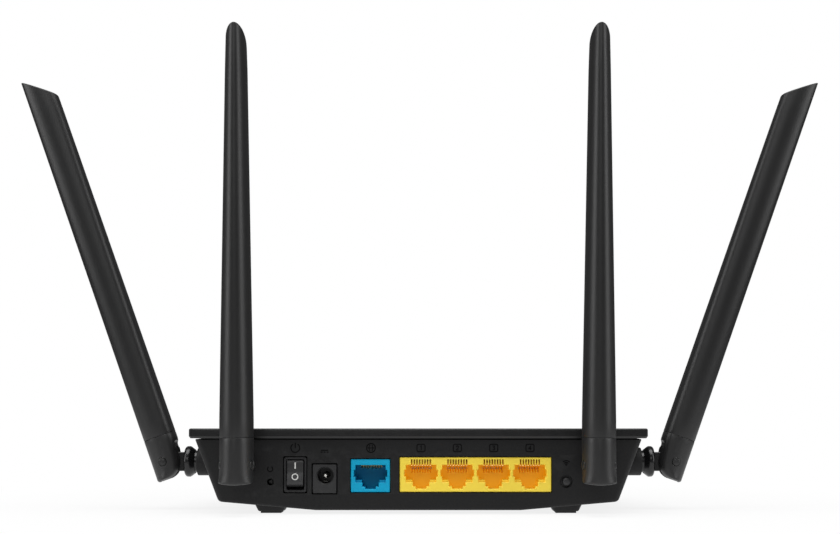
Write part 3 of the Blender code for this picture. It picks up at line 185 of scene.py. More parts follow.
def mesh_object(name, bm):
    """An object from bm with smooth shading that stops at real edges."""
    bmesh.ops.recalc_face_normals(bm, faces=bm.faces)
    mesh = bpy.data.meshes.new(name)
    bm.to_mesh(mesh)
    bm.free()
    mesh.shade_smooth()
    mesh.set_sharp_from_angle(angle=SMOOTH_ANGLE)
    obj = bpy.data.objects.new(name, mesh)
    bpy.context.scene.collection.objects.link(obj)
    return obj


def combine(obj, bm, operation):
    """Applies a Boolean to obj, and merges the flat pieces of face that it leaves."""
    tool = mesh_object("tool", bm)
    modifier = obj.modifiers.new("Boolean", "BOOLEAN")
    modifier.operation = operation
    modifier.solver = "EXACT"
    modifier.object = tool
    graph = bpy.context.evaluated_depsgraph_get()
    result = bpy.data.meshes.new_from_object(obj.evaluated_get(graph))
    obj.modifiers.remove(modifier)
    obj.data = result
    bpy.data.objects.remove(tool)
    bm = bmesh.new()
    bm.from_mesh(result)
    bmesh.ops.remove_doubles(bm, verts=bm.verts, dist=WELD)
    bmesh.ops.dissolve_limit(bm, angle_limit=FLAT_ANGLE, verts=bm.verts, edges=bm.edges)
    bm.to_mesh(result)
    bm.free()
    result.shade_smooth()
    result.set_sharp_from_angle(angle=SMOOTH_ANGLE)


def cut(obj, bm):
    combine(obj, bm, "DIFFERENCE")


def add(obj, bm):
    combine(obj, bm, "UNION")


def soften(obj, width, segments=2):
    """Rounds the sharp edges of obj by width."""
    bevel = obj.modifiers.new("Soft edges", "BEVEL")
    bevel.width = width
    bevel.segments = segments
    bevel.limit_method = "ANGLE"
    bevel.angle_limit = SMOOTH_ANGLE
    bevel.use_clamp_overlap = True
    bevel.harden_normals = True


def fit(obj, slot, body, nodes=(), place=None, finish=None):
    """Puts a finished piece on its body, standing for those CAD nodes."""
    if place is not None:
        obj.matrix_world = place
    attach(obj, body)
    if nodes:
        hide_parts(*nodes)
    obj.data.materials.clear()
    obj.data.materials.append(finishes[finish or slot])
    return obj

# %% [markdown]
# ## Effects shared by the finishes
# Moulded plastic is never one flat colour. The mould leaves a fine grain, the colour drifts a little over a
# large face, corners are rubbed lighter, and dust settles on what faces up. Each effect is a node group with
# named sockets, so that every finish can use it with its own strength.

# %% Node helpers
def put(tree, kind, inputs=None, **settings):
    """A node with some settings, and inputs given as values or as sockets to link from."""
    node = tree.nodes.new("ShaderNode" + kind)
    for key, value in settings.items():
        setattr(node, key, value)
    for key, value in (inputs or {}).items():
        if isinstance(value, bpy.types.NodeSocket):
            tree.links.new(value, node.inputs[key])
        else:
            node.inputs[key].default_value = value
    return node


def maths(tree, operation, *values):
    """The result of a Math node."""
    return put(tree, "Math", dict(enumerate(values)), operation=operation).outputs[0]


def ranged(tree, value, start, end, first=0.0, last=1.0):
    """The value stretched from start..end to first..last."""
    ends = {"From Min": start, "From Max": end, "To Min": first, "To Max": last}
    return put(tree, "MapRange", {"Value": value, **ends}).outputs[0]


def placed(tree):
    """Coordinates that stay with the object."""
    return put(tree, "TexCoord").outputs["Object"]


def noise(tree, scale, detail, where=None, roughness=0.5):
    """A noise from 0 to 1."""
    where = placed(tree) if where is None else where
    inputs = {"Vector": where, "Scale": scale, "Detail": detail, "Roughness": roughness}
    return put(tree, "TexNoise", inputs).outputs["Fac"]


# %% Node group helper
NUMBER, COLOUR = "NodeSocketFloat", "NodeSocketColor"
groups = {}


def node_group(name, inputs, outputs):
    """A new group: its tree, the inputs to read and the outputs to feed."""
    tree = bpy.data.node_groups.new(name, "ShaderNodeTree")
    for label, kind, value in inputs:
        tree.interface.new_socket(label, in_out="INPUT", socket_type=kind).default_value = value
    for label, kind in outputs:
        tree.interface.new_socket(label, in_out="OUTPUT", socket_type=kind)
    groups[name] = tree
    print("group:", name)
    return tree, tree.nodes.new("NodeGroupInput").outputs, tree.nodes.new("NodeGroupOutput").inputs


def give_mask(tree, result, first, second, third=1.0):
    """Feeds the group's mask with the product of three values."""
    both = maths(tree, "MULTIPLY", first, second)
    tree.links.new(maths(tree, "MULTIPLY", both, third), result["Mask"])


# %% [markdown]
# The grain is what a mould etched or spark-eroded on purpose leaves: tiny rounded bumps of nearly one size.
# A Voronoi pattern gives the bumps and a noise breaks up their regularity. Its height drives the bump, and
# the same value shifts the roughness, because the tops of the grain are polished by handling.

# %% Group: moulded grain
outputs = [("Height", NUMBER), ("Tone", NUMBER)]
tree, given, result = node_group("Moulded grain", [("Scale", NUMBER, 1500.0)], outputs)
where = placed(tree)
cells = put(tree, "TexVoronoi", {"Vector": where, "Scale": given["Scale"]}, feature="SMOOTH_F1")
pair = maths(tree, "MULTIPLY", cells.outputs["Distance"], noise(tree, given["Scale"], 3.0, where))
height = ranged(tree, pair, 0.05, 0.5)
tone = maths(tree, "ADD", height, noise(tree, 160.0, 5.0, where, 0.65))
tree.links.new(height, result["Height"])
tree.links.new(maths(tree, "MULTIPLY", tone, 0.5), result["Tone"])

# %% [markdown]
# The colour of one moulding varies by a few percent where the melt cooled at different speeds, or where the
# film of mould wax is thicker. A slow noise changes only the value, so the hue stays true.

# %% Group: tone drift
sockets = [("Colour", COLOUR, (0.5, 0.5, 0.5, 1.0)), ("Amount", NUMBER, 0.1), ("Scale", NUMBER, 18.0)]
tree, given, result = node_group("Tone drift", sockets, [("Colour", COLOUR)])
middle = maths(tree, "SUBTRACT", noise(tree, given["Scale"], 4.0), 0.5)
swing = maths(tree, "MULTIPLY", middle, given["Amount"])
value = maths(tree, "MULTIPLY_ADD", swing, 2.0, 1.0)
shift = put(tree, "HueSaturation", {"Color": given["Colour"], "Value": value})
tree.links.new(shift.outputs["Color"], result["Colour"])

# %% [markdown]
# Edges that fingers and desks touch go slightly lighter and smoother. Pointiness, which says how convex the
# surface is, finds them, and a noise breaks the line up so that it looks rubbed and not painted.

# %% Group: rubbed edges
sockets = [("Strength", NUMBER, 0.5), ("Scale", NUMBER, 300.0)]
tree, given, result = node_group("Rubbed edges", sockets, [("Mask", NUMBER)])
sharp = ranged(tree, put(tree, "NewGeometry").outputs["Pointiness"], 0.53, 0.62)
patchy = ranged(tree, noise(tree, given["Scale"], 4.0), 0.42, 0.62)
give_mask(tree, result, sharp, patchy, given["Strength"])

# %% [markdown]
# A router stands still for years, so a thin veil of dust belongs on everything that faces up. The mask is
# the upward part of the surface normal, thinned by a fine noise.

# %% Group: settled dust
sockets = [("Amount", NUMBER, 0.1), ("Scale", NUMBER, 500.0)]
tree, given, result = node_group("Settled dust", sockets, [("Mask", NUMBER)])
facing = put(tree, "SeparateXYZ", {"Vector": put(tree, "NewGeometry").outputs["Normal"]})
upward = ranged(tree, facing.outputs["Z"], 0.55, 1.0)
specks = ranged(tree, noise(tree, given["Scale"], 6.0), 0.40, 0.75)
give_mask(tree, result, upward, specks, given["Amount"])

# %% [markdown]
# Rolled and plated metal carries fine lines along the strip. Noise squeezed hard along one axis draws them,
# and the group gives a height for the bump and for the roughness.

# %% Group: drawn lines
sockets = [("Scale", NUMBER, 900.0), ("Stretch", NUMBER, 0.04)]
tree, given, result = node_group("Drawn lines", sockets, [("Height", NUMBER)])
axes = put(tree, "CombineXYZ", {"X": 1.0, "Y": given["Stretch"], "Z": 1.0})
squeezed = put(tree, "VectorMath", {0: placed(tree), 1: axes.outputs[0]}, operation="MULTIPLY")
lines = ranged(tree, noise(tree, given["Scale"], 4.0, squeezed.outputs[0]), 0.3, 0.7)
tree.links.new(lines, result["Height"])

# %% [markdown]
# Inside the ports the resins get a painted glow: an emission, deeper in colour, that stands in for the light
# in the port. A mask that grows from the face inwards carries that painted glow.

# %% Group: painted glow depth behind the face
sockets = [("Start", NUMBER, 0.0006), ("End", NUMBER, 0.004), ("Top", NUMBER, 0.0188)]
tree, given, result = node_group("Painted glow depth", sockets, [("Mask", NUMBER)])
parts = put(tree, "SeparateXYZ", {"Vector": placed(tree)}).outputs
ramp = ranged(tree, parts["Y"], given["Start"], given["End"])
give_mask(tree, result, ramp, maths(tree, "LESS_THAN", parts["Z"], given["Top"]))

# %% [markdown]
# ## The finishes
# One function makes every plastic and one every metal, from the same groups with different values. The
# black parts differ only a little from each other in tone, roughness and grain, and that is what tells them
# apart: the case is grained and matt, the antennas are satin, and the swivels are nearly polished.

# %% Parts of a finish
DUST = (0.36, 0.35, 0.33)
METAL_SPREAD = 0.08
finishes = {}


def grown(tree, group, **values):
    """The group placed in a material with its own values."""
    return put(tree, "Group", values, node_tree=groups[group])


def layered(tree, under, over, mask):
    """Colour over another, where the mask is."""
    mix = put(tree, "Mix", data_type="RGBA")
    tree.links.new(mask, mix.inputs["Factor"])
    tree.links.new(under, mix.inputs["A"])
    mix.inputs["B"].default_value = (*over, 1.0)
    return mix.outputs["Result"]


def shader_of(name):
    """A new node material, its tree and its Principled shader."""
    material = bpy.data.materials.new(name)
    material.use_nodes = True
    tree = material.node_tree
    return material, tree, tree.nodes["Principled BSDF"]


def surface(tree, shader, tone, rough, height, depth):
    """Feeds the shader's colour, roughness and bump."""
    bump = put(tree, "Bump", {"Height": height, "Distance": depth})
    tree.links.new(tone, shader.inputs["Base Color"])
    tree.links.new(rough, shader.inputs["Roughness"])
    tree.links.new(bump.outputs["Normal"], shader.inputs["Normal"])


# %% Building a plastic
def plastic(slot, colour, rough, grain=(1500.0, 2e-5), vary=0.1, drift=0.12, rubbed=0.3, dust=0.05,
            coat=0.0, shine=0.5):
    """A moulded plastic. grain is the scale and the height in metres."""
    finishes[slot], tree, shader = shader_of(slot)
    texture = grown(tree, "Moulded grain", Scale=grain[0]).outputs
    tone = grown(tree, "Tone drift", Colour=(*colour, 1.0), Amount=drift).outputs["Colour"]
    lighter = tuple(min(1.0, c * 1.5 + 0.02) for c in colour)
    tone = layered(tree, tone, lighter, grown(tree, "Rubbed edges", Strength=rubbed).outputs["Mask"])
    tone = layered(tree, tone, DUST, grown(tree, "Settled dust", Amount=dust).outputs["Mask"])
    spread = ranged(tree, texture["Tone"], 0.25, 0.75, rough + vary / 2, rough - vary / 2)
    surface(tree, shader, tone, spread, texture["Height"], grain[1])
    shader.inputs["Coat Weight"].default_value = coat
    shader.inputs["Specular IOR Level"].default_value = shine
    shader.inputs["Coat Roughness"].default_value = 0.12


# %% Building a metal
def metal(slot, colour, rough, lines=(900.0, 0.04), depth=4e-6):
    """A plated or bare metal with drawn lines."""
    finishes[slot], tree, shader = shader_of(slot)
    drawn = grown(tree, "Drawn lines", Scale=lines[0], Stretch=lines[1]).outputs["Height"]
    drift = grown(tree, "Tone drift", Colour=(*colour, 1.0), Amount=0.08, Scale=90.0)
    spread = ranged(tree, drawn, 0.0, 1.0, rough - METAL_SPREAD, rough + METAL_SPREAD)
    surface(tree, shader, drift.outputs["Colour"], spread, drawn, depth)
    shader.inputs["Metallic"].default_value = 1.0


# %% All plastics
FINE = (2200.0, 1e-5)
RESIN = {"grain": FINE, "drift": 0.05, "rubbed": 0.15, "dust": 0.0}
CLEAN = {"rubbed": 0.0, "dust": 0.0}
plastic("case_plastic", (0.0070, 0.0070, 0.0074), 0.55, (1300.0, 3.5e-5), 0.16, drift=0.16, shine=0.28)
plastic("lid_plastic", (0.0045, 0.0045, 0.0048), 0.34, (2400.0, 1e-5), 0.08)
plastic("antenna_plastic", (0.0115, 0.0115, 0.0118), 0.40, (2600.0, 0.9e-5), 0.08, drift=0.10)
plastic("swivel_plastic", (0.005, 0.005, 0.0055), 0.24, (2600.0, 0.5e-5), 0.06)
plastic("switch_plastic", (0.018, 0.018, 0.019), 0.36, FINE)
plastic("mark_black", (0.0015, 0.0015, 0.0016), 0.70, shine=0.08, **CLEAN)
plastic("lan_resin", (0.98, 0.73, 0.06), 0.42, **RESIN)
plastic("wan_resin", (0.0, 0.36, 0.60), 0.42, shine=0.25, **RESIN)
plastic("epoxy", (0.016, 0.016, 0.017), 0.55, (1800.0, 1.5e-5))
plastic("pad_rubber", (0.020, 0.020, 0.020), 0.78, (900.0, 4e-5), drift=0.2, dust=0.15)
plastic("label_film", (0.70, 0.70, 0.68), 0.48, (1600.0, 0.5e-5), drift=0.04, **CLEAN)
plastic("coax_jacket", (0.055, 0.055, 0.058), 0.46, (2000.0, 1e-5))
plastic("board_laminate", (0.010, 0.085, 0.040), 0.34, (700.0, 1e-5), drift=0.25, dust=0.1, coat=0.3)
plastic("clear_guide", (0.82, 0.84, 0.86), 0.16, (400.0, 1e-5), 0.06, drift=0.04, rubbed=0.0)
finishes["clear_guide"].node_tree.nodes["Principled BSDF"].inputs["Transmission Weight"].default_value = 0.9
print("plastics:", ", ".join(finishes))

# %% All metals
metal("contact_gold", (0.83, 0.56, 0.24), 0.26)
metal("nickel", (0.78, 0.77, 0.73), 0.20, depth=2e-6)
metal("screw_steel", (0.46, 0.46, 0.47), 0.38, lines=(700.0, 0.3))
metal("shield_tin", (0.62, 0.62, 0.60), 0.34, lines=(500.0, 0.02))
metal("sink_aluminium", (0.60, 0.60, 0.61), 0.40, lines=(900.0, 0.02), depth=8e-6)
metal("element_copper", (0.72, 0.40, 0.22), 0.38)
print(len(finishes), "finishes")

# %% Painted glow inside the two resins
# Painted light: inner is the colour of a painted glow that the emission gives the inside of each port.
for resin, inner in (("lan_resin", (0.147, 0.062, 0.0)), ("wan_resin", (0.0, 0.0, 0.004))):
    tree = finishes[resin].node_tree
    shader = tree.nodes["Principled BSDF"].inputs
    black = put(tree, "RGB").outputs[0]
    black.default_value = (0.0, 0.0, 0.0, 1.0)
    mask = grown(tree, "Painted glow depth").outputs["Mask"]
    tree.links.new(layered(tree, black, inner, mask), shader["Emission Color"])
    shader["Emission Strength"].default_value = 1.0
    print(resin, "glows", inner)

# %% [markdown]
# ## The finish of every CAD piece
# The record names a slot for each node. The pieces inside the case stay as CAD shapes, so each takes its
# finish here. The pieces that get rebuilt are hidden one by one below.

# %% Finish the carried-over pieces
slot_of = {entry["node"]: entry["material_slot"] for entry in frame["record"]["subparts"]}
for node, obj in frame["nodes"].items():
    obj.data.materials.clear()
    obj.data.materials.append(finishes[slot_of[node]])
print(len(slot_of), "CAD pieces finished")

# %% [markdown]
# ## Router coordinates
# The rear panel is the plane everything is counted from: y runs from the panel into the case, z up from the
# desk, x to the right. The jacks stand a hair behind the panel, which gives its place in the frame.

# %% Where the panel and the desk are
SETBACK = 0.0003
GAP = 0.0003
FOOT_SOLE = 0.0007
PAST = 0.001
SIDES = (-1, 1)
panel_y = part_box("lan_jack_block")[0].y - SETBACK
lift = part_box("base_case")[0].z - FOOT_SOLE
ROUTER = Matrix.Translation((0.0, panel_y, lift))


def centre_of(node):
    """The middle of a CAD node's box."""
    low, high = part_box(node)
    return (low + high) / 2


def place_of(node):
    """Centre (x, z) and size (x, z) of a CAD node in router coordinates."""
    low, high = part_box(node)
    return ((low.x + high.x) / 2, (low.z + high.z) / 2 - lift), (high.x - low.x, high.z - low.z)


LAN_CENTRE, LAN_SIZE = place_of("lan_jack_block")
WAN_CENTRE, WAN_SIZE = place_of("wan_jack")
DC_CENTRE, DC_SIZE = place_of("dc_jack_body")
SWITCH_CENTRE, SWITCH_SIZE = place_of("power_switch_housing")
WPS_CENTRE, _ = place_of("wps_button")
RESET_CENTRE, _ = place_of("reset_plunger")
print(f"panel plane at y = {panel_y:.6f} m, case lifted {lift * 1000:.3f} mm")

# %% [markdown]
# ## The case
# The lower half of the router is one tray: an upright rear panel, side walls that lean in towards the
# bottom, and an underside that is flat in the middle and rises to both ends. It was moulded in one shot, so
# it is built as one run of rings: up the inside, over the top, down the outside and round the lower edge.

# %% Case outline
CASE_HEIGHT, CASE_DEPTH, WALL = 0.0287, 0.1143, 0.0020
HALF_WIDTH, SIDE_FLARE, WIDEST_AT = 0.0846, 0.0025, 0.052
SIDE_LEAN = 0.33
FRONT_HALF, FRONT_CORNER = HALF_WIDTH - 0.0126, 0.0075
FLAT_HALF, UNDERSIDE_LIFT, UNDERSIDE_RISE = 0.0394, 0.0014, 0.0031
UNDERSIDE_SLOPE = UNDERSIDE_RISE / (HALF_WIDTH - CASE_HEIGHT * SIDE_LEAN - FLAT_HALF)
LOWER_ROUND = 0.0012
REAR_EDGE = 0.0014
CASE_RADII = [0.0, 0.0024, 0.06, 0.006, 0.006, 0.0]


def underside_z(x):
    return UNDERSIDE_LIFT + max(abs(x) - FLAT_HALF, 0.0) * UNDERSIDE_SLOPE


def plan(inwards, drop=0.0, middle=True):
    """The case's plan outline, moved inwards, at a depth below its top edge."""
    side = drop * SIDE_LEAN
    front = CASE_DEPTH - side
    wide = HALF_WIDTH + REAR_EDGE - side
    half = [
        (FLAT_HALF, 0.0),
        (wide, 0.0),
        (wide + SIDE_FLARE, WIDEST_AT),
        (FRONT_HALF + FRONT_CORNER - side, front - FRONT_CORNER),
        (FRONT_HALF - side, front),
        (FLAT_HALF, front),
    ]
    moved = inset(half + [(-x, y) for x, y in reversed(half)], inwards)
    radii = [r if r == 0 else max(r - inwards, 0.0006) for r in CASE_RADII]
    points = rounded(moved, radii + radii[::-1])
    return points if middle else [(x, y) for x, y in points if abs(abs(x) - FLAT_HALF) > GAP]


def low_ring(above, inwards):
    drop = CASE_HEIGHT - UNDERSIDE_LIFT - above
    return [(x, y, underside_z(x) + above) for x, y in plan(inwards, drop)]


def high_ring(inwards, z=CASE_HEIGHT):
    return [(x, y, z) for x, y in plan(inwards)]


def close_floor(bm, row):
    """Flat faces for the level middle and for the two rising ends."""
    half = len(row) // 2
    right, left = row[:half], row[half:]
    bm.faces.new(right)
    bm.faces.new(left)
    bm.faces.new((right[0], right[-1], left[0], left[-1]))


bm = bmesh.new()
TOP_ROUND = 0.0003
rings = [low_ring(WALL, WALL), high_ring(WALL), high_ring(TOP_ROUND), high_ring(0.0, CASE_HEIGHT - TOP_ROUND)]
for k in range(7):
    turn = k / 6 * math.pi / 2
    rings.append(low_ring(LOWER_ROUND * (1 - math.sin(turn)), LOWER_ROUND * (1 - math.cos(turn))))
rows = loft(bm, rings, capped=False)
close_floor(bm, rows[0])
close_floor(bm, rows[-1])
bmesh.ops.triangulate(bm, faces=bm.faces)
case = mesh_object("case_body", bm)
print("case shell:", len(case.data.polygons), "faces")

# %% [markdown]
# Feet, screw bosses and the four antenna bosses were all part of the same mould. They are added as closed
# solids that reach into the wall, so that the union leaves one skin.

# %% Feet and bosses
FOOT_X, FOOT_WIDTH, FOOT_LENGTH, FOOT_TAPER = 0.05725, 0.0127, 0.013, 0.0013
FOOT_PLACES = [(side * FOOT_X, y) for y in (0.004, 0.084) for side in SIDES]
POST_PLACES = [(side * 0.0665, y) for y in (0.043, 0.074) for side in SIDES]
SCREW_BOSS, SCREW_BOSS_TOP = 0.0045, 0.0084
AXIS_Z = centre_of("rear_left_hinge_pin").z - lift
REAR_ANTENNA_X = centre_of("rear_right_hinge_pin").x
SIDE_ANTENNA_Y = centre_of("side_right_hinge_pin").y - panel_y
REAR_BOSS_PROUD, SIDE_BOSS_FACE, BOSS_LENGTH, BOSS_RADIUS = 0.003, 0.0898, 0.0108, 0.00565
ANTENNA_NECK = 0.0044


def antenna_boss(bm, profile):
    """The same turned shape at all four antenna places; w counts inwards from the boss face."""
    for side in SIDES:
        rear = [(r, w - REAR_BOSS_PROUD) for r, w in profile]
        turned(bm, rear, "Y", 48, (side * REAR_ANTENNA_X, AXIS_Z))
        ends = [(r, side * (SIDE_BOSS_FACE - w)) for r, w in profile]
        turned(bm, ends, "X", 48, (SIDE_ANTENNA_Y, AXIS_Z))


bm = bmesh.new()
for x, y in FOOT_PLACES:
    rings = []
    top = underside_z(x) + WALL / 2
    for z, narrow in ((FOOT_SOLE, FOOT_TAPER + 0.0003), (FOOT_SOLE + 0.0003, FOOT_TAPER), (top, 0.0)):
        size = (FOOT_WIDTH - 2 * narrow, FOOT_LENGTH - 2 * narrow)
        outline = rounded_rectangle((x, y + FOOT_LENGTH / 2), size, 0.0016)
        rings.append([(u, v, z) for u, v in outline])
    loft(bm, rings)
for x, y in POST_PLACES:
    prism(bm, circle(SCREW_BOSS, 24, (x, y)), "Z", underside_z(x) + WALL / 2, SCREW_BOSS_TOP)
EDGE = 0.0004
boss = [(BOSS_RADIUS - EDGE, 0.0), (BOSS_RADIUS - EDGE * 0.3, EDGE * 0.3)]
boss += [(BOSS_RADIUS, EDGE), (BOSS_RADIUS, BOSS_LENGTH)]
antenna_boss(bm, boss)
add(case, bm)

# %% [markdown]
# Every opening is slightly larger than the piece behind it: a jack that stands in its window shows a thin
# black gap all round. The bosses are bored, the two buttons get turned holes with a small countersink, and
# the underside gets its vents, screw wells, pad seats and label recess.

# %% Openings of the case
WPS_HOLE, RESET_HOLE = 0.0023, 0.0013
PAD_THICKNESS, PAD_MARGIN = 0.0015, 0.0011
SCREW_HEAD, SCREW_SHANK, SCREW_SEAT = 0.0029, 0.0015, 0.0062
LABEL_SIZE, LABEL_Y, LABEL_RECESS = (0.062, 0.030), 0.058, 0.0007
VENT_ROWS, VENT_COLUMNS, VENT_PITCH, VENT_LENGTH, VENT_WIDTH = (0.030, 0.086), 7, 0.006, 0.018, 0.0022

bm = bmesh.new()
windows = ((LAN_CENTRE, LAN_SIZE), (WAN_CENTRE, WAN_SIZE), (DC_CENTRE, DC_SIZE), (SWITCH_CENTRE, SWITCH_SIZE))
for centre, size in windows:
    window = rounded_rectangle(centre, (size[0] + 2 * GAP, size[1] + 2 * GAP), 0.0005, steps=3)
    prism(bm, window, "Y", -WALL, 2 * WALL)
for centre, radius in ((WPS_CENTRE, WPS_HOLE), (RESET_CENTRE, RESET_HOLE)):
    rim = [(radius + 0.0012, -PAST), (radius + 0.0002, 0.0), (radius, 0.0002), (radius, 2 * WALL)]
    turned(bm, rim, "Y", 40, centre)
bore = ANTENNA_NECK + GAP
antenna_boss(bm, [(bore, -PAST), (bore, BOSS_LENGTH + PAST)])
cut(case, bm)

bm = bmesh.new()
for x, y in FOOT_PLACES:
    margin = 2 * (FOOT_TAPER + PAD_MARGIN - GAP)
    seat = rounded_rectangle((x, y + FOOT_LENGTH / 2), (FOOT_WIDTH - margin, FOOT_LENGTH - margin), 0.0008)
    prism(bm, seat, "Z", -PAST, PAD_THICKNESS + GAP)
for x, y in POST_PLACES:
    head, shank = SCREW_HEAD + GAP, SCREW_SHANK + GAP
    well = [(head, -PAST), (head, SCREW_SEAT), (shank, SCREW_SEAT), (shank, 2 * SCREW_BOSS_TOP)]
    turned(bm, well, "Z", 24, (x, y))
for y in VENT_ROWS:
    for i in range(VENT_COLUMNS):
        middle = ((i - (VENT_COLUMNS - 1) / 2) * VENT_PITCH, y)
        slot_line = rounded_rectangle(middle, (VENT_WIDTH, VENT_LENGTH), VENT_WIDTH * 0.499)
        prism(bm, slot_line, "Z", -PAST, UNDERSIDE_LIFT + 2 * WALL)
recess = rounded_rectangle((0.0, LABEL_Y), (LABEL_SIZE[0] + 2 * GAP, LABEL_SIZE[1] + 2 * GAP), 0.001)
prism(bm, recess, "Z", -PAST, UNDERSIDE_LIFT + LABEL_RECESS)
cut(case, bm)
fit(case, "case_plastic", "case", ["base_case"], ROUTER)
print("case:", len(case.data.polygons), "faces")

# %% [markdown]
# ## The lid
# The upper half is a shallow cover that overhangs the case by a couple of millimetres. Seen from behind it
# is a dark band with one thin bright line, because its lower edge is bevelled and looks down at the desk.
# On top its border frames a slightly sunken panel.

# %% Lid
RIM_BOTTOM, LID_TOP, LID_CEILING = 0.0290, 0.0328, 0.0296
OVERHANG, REAR_OVERHANG, FRONT_DROP = 0.0025, 0.0012, 0.0011
LIP_DEPTH, LIP_THICKNESS, LIP_START = 0.00215, 0.0015, WALL + 0.0013
PANEL_INSET, PANEL_SINK = 0.0105, 0.0006
BEVEL_IN, BEVEL_UP, UPPER_ROUND = 0.0006, 0.0008, 0.0007


def lid_plan(inwards):
    """The lid's plan outline: the case's spread by the overhang, cut shorter at the rear."""
    points = [(x, max(y, -REAR_OVERHANG)) for x, y in plan(-OVERHANG, middle=False)]
    corner = [i for i, (x, y) in enumerate(points) if y == -REAR_OVERHANG]
    keep = [p for i, p in enumerate(points) if i not in corner[1:-1]]
    return inset(keep, inwards)


def level(points, z):
    return [(x, y, z) for x, y in points]


def sloped(points, z):
    return [(x, y, z - FRONT_DROP * max(y, 0.0) / CASE_DEPTH) for x, y in points]


bm = bmesh.new()
rings = []
for inwards, z in ((BEVEL_IN + 0.0014, RIM_BOTTOM), (BEVEL_IN, RIM_BOTTOM), (0.0, RIM_BOTTOM + BEVEL_UP)):
    rings.append(level(lid_plan(inwards), z))
for k in range(6):
    turn = k / 5 * math.pi / 2
    inwards = UPPER_ROUND * (1 - math.cos(turn))
    rings.append(sloped(lid_plan(inwards), LID_TOP - UPPER_ROUND * (1 - math.sin(turn))))
loft(bm, rings)
lid = mesh_object("lid_cover", bm)

for inwards, bottom, top, work in (
    (LIP_START, CASE_HEIGHT - LIP_DEPTH, LID_CEILING + PAST, add),
    (LIP_START + LIP_THICKNESS, CASE_HEIGHT - 2 * LIP_DEPTH, LID_CEILING, cut),
):
    bm = bmesh.new()
    loft(bm, [level(plan(inwards, middle=False), z) for z in (bottom, top)])
    work(lid, bm)

bm = bmesh.new()
steps = (PANEL_SINK, 0.0, -PANEL_SINK)
loft(bm, [sloped(plan(PANEL_INSET + step, middle=False), LID_TOP - step) for step in steps])
cut(lid, bm)
print("lid:", len(lid.data.polygons), "faces")

# %% [markdown]
# The lights shine up through seven small windows near the front. The guide's fingers stand in them, so only
# the openings are cut. A shallow crossing pair of grooves divides the sunken panel, as a mould maker would
# relieve a large flat face so that it hides sink marks.

# %% Lid windows, posts and panel grooves
WINDOW_PITCH, WINDOW_SIZE, WINDOW_Y, WINDOWS = 0.0085, (0.0042, 0.0016), 0.1065, 7
GROOVE_WIDTH, GROOVE_DEPTH = 0.0006, 0.0004
LID_POST, LID_SCREW = 0.0036, 0.0125
bm = bmesh.new()
for x, y in POST_PLACES:
    prism(bm, circle(LID_POST, 24, (x, y)), "Z", SCREW_BOSS_TOP + GAP, LID_CEILING + 0.0012)
add(lid, bm)
bm = bmesh.new()
for x, y in POST_PLACES:
    prism(bm, circle(SCREW_SHANK + GAP, 24, (x, y)), "Z", 0.0, SCREW_SEAT + LID_SCREW + GAP)
for i in range(WINDOWS):
    middle = ((i - (WINDOWS - 1) / 2) * WINDOW_PITCH, WINDOW_Y)
    prism(bm, rounded_rectangle(middle, WINDOW_SIZE, 0.0003, steps=2), "Z", 0.02, 0.04)
cut(lid, bm)
for side in SIDES:
    a, b = Vector((-side * 0.071, 0.020)), Vector((side * 0.055, 0.094))
    run = (b - a).normalized()
    out = Vector((-run.y, run.x)) * GROOVE_WIDTH / 2
    line = [tuple(a - out), tuple(b - out), tuple(b + out), tuple(a + out)]
    bm = bmesh.new()
    top = LID_TOP - PANEL_SINK
    loft(bm, [sloped(line, top - GROOVE_DEPTH), sloped(line, top + PAST)])
    cut(lid, bm)
fit(lid, "lid_plastic", "case", ["top_cover"], ROUTER)

# %% [markdown]
# ## The network ports
# Four ports share one yellow block. Each port is a plug space with a comb of eight slots above it that
# keeps the spring wires apart, a bulge at both sides, a stepped way for the plug's latch, and two low rails
# at the floor. The single blue port beside it is made by the same function with a smaller face.

# %% Port shapes
PORT_PITCH, PORT_WIDTH, PORT_HEIGHT, PORT_DEPTH = 0.01397, 0.0117, 0.0067, 0.0125
BLOCK_DEPTH = 0.016
BULGE_WIDTH, BULGE_HEIGHT, BULGE_DOWN = 0.0129, 0.0026, 0.0019
LATCH_WIDTHS, LATCH_HEIGHTS = (0.0063, 0.0041), (0.0016, 0.0009)
WIRES, WIRE_PITCH, WIRE_WIDTH, WIRE_THICKNESS = 8, 0.00102, 0.00045, 0.00028
COMB_SLOT, COMB_HEIGHT = 0.00062, 0.0021


def port_outline(x, top):
    """Front outline of the plug space with its side bulges and latch way."""
    bulge_top = top - BULGE_DOWN
    bulge_low = bulge_top - BULGE_HEIGHT
    bottom = top - PORT_HEIGHT
    step = bottom - LATCH_HEIGHTS[0]
    low = step - LATCH_HEIGHTS[1]
    a, b, c, d = LATCH_WIDTHS[1] / 2, LATCH_WIDTHS[0] / 2, PORT_WIDTH / 2, BULGE_WIDTH / 2
    half = [(a, low), (a, step), (b, step), (b, bottom), (c, bottom), (c, bulge_low), (d, bulge_low),
            (d, bulge_top), (c, bulge_top), (c, top)]
    return [(x + u, v) for u, v in half] + [(x - u, v) for u, v in reversed(half)]


def port_cavity(bm, x, top):
    """The port's air: a chamfered mouth, then straight walls to the back."""
    outline = port_outline(x, top)
    mouth = 0.00025
    steps = [(SETBACK - PAST, -mouth), (SETBACK, -mouth), (SETBACK + mouth, 0.0), (SETBACK + PORT_DEPTH, 0.0)]
    stack(bm, outline, steps)


def comb_slots(bm, x, top):
    """Eight upright slots above the plug space, open to the front."""
    for i in range(WIRES):
        u = x + (i - (WIRES - 1) / 2) * WIRE_PITCH
        low = (u - COMB_SLOT / 2, -PAST, top - 0.0002)
        box(bm, low, (u + COMB_SLOT / 2, PORT_DEPTH - 0.002, top + COMB_HEIGHT))


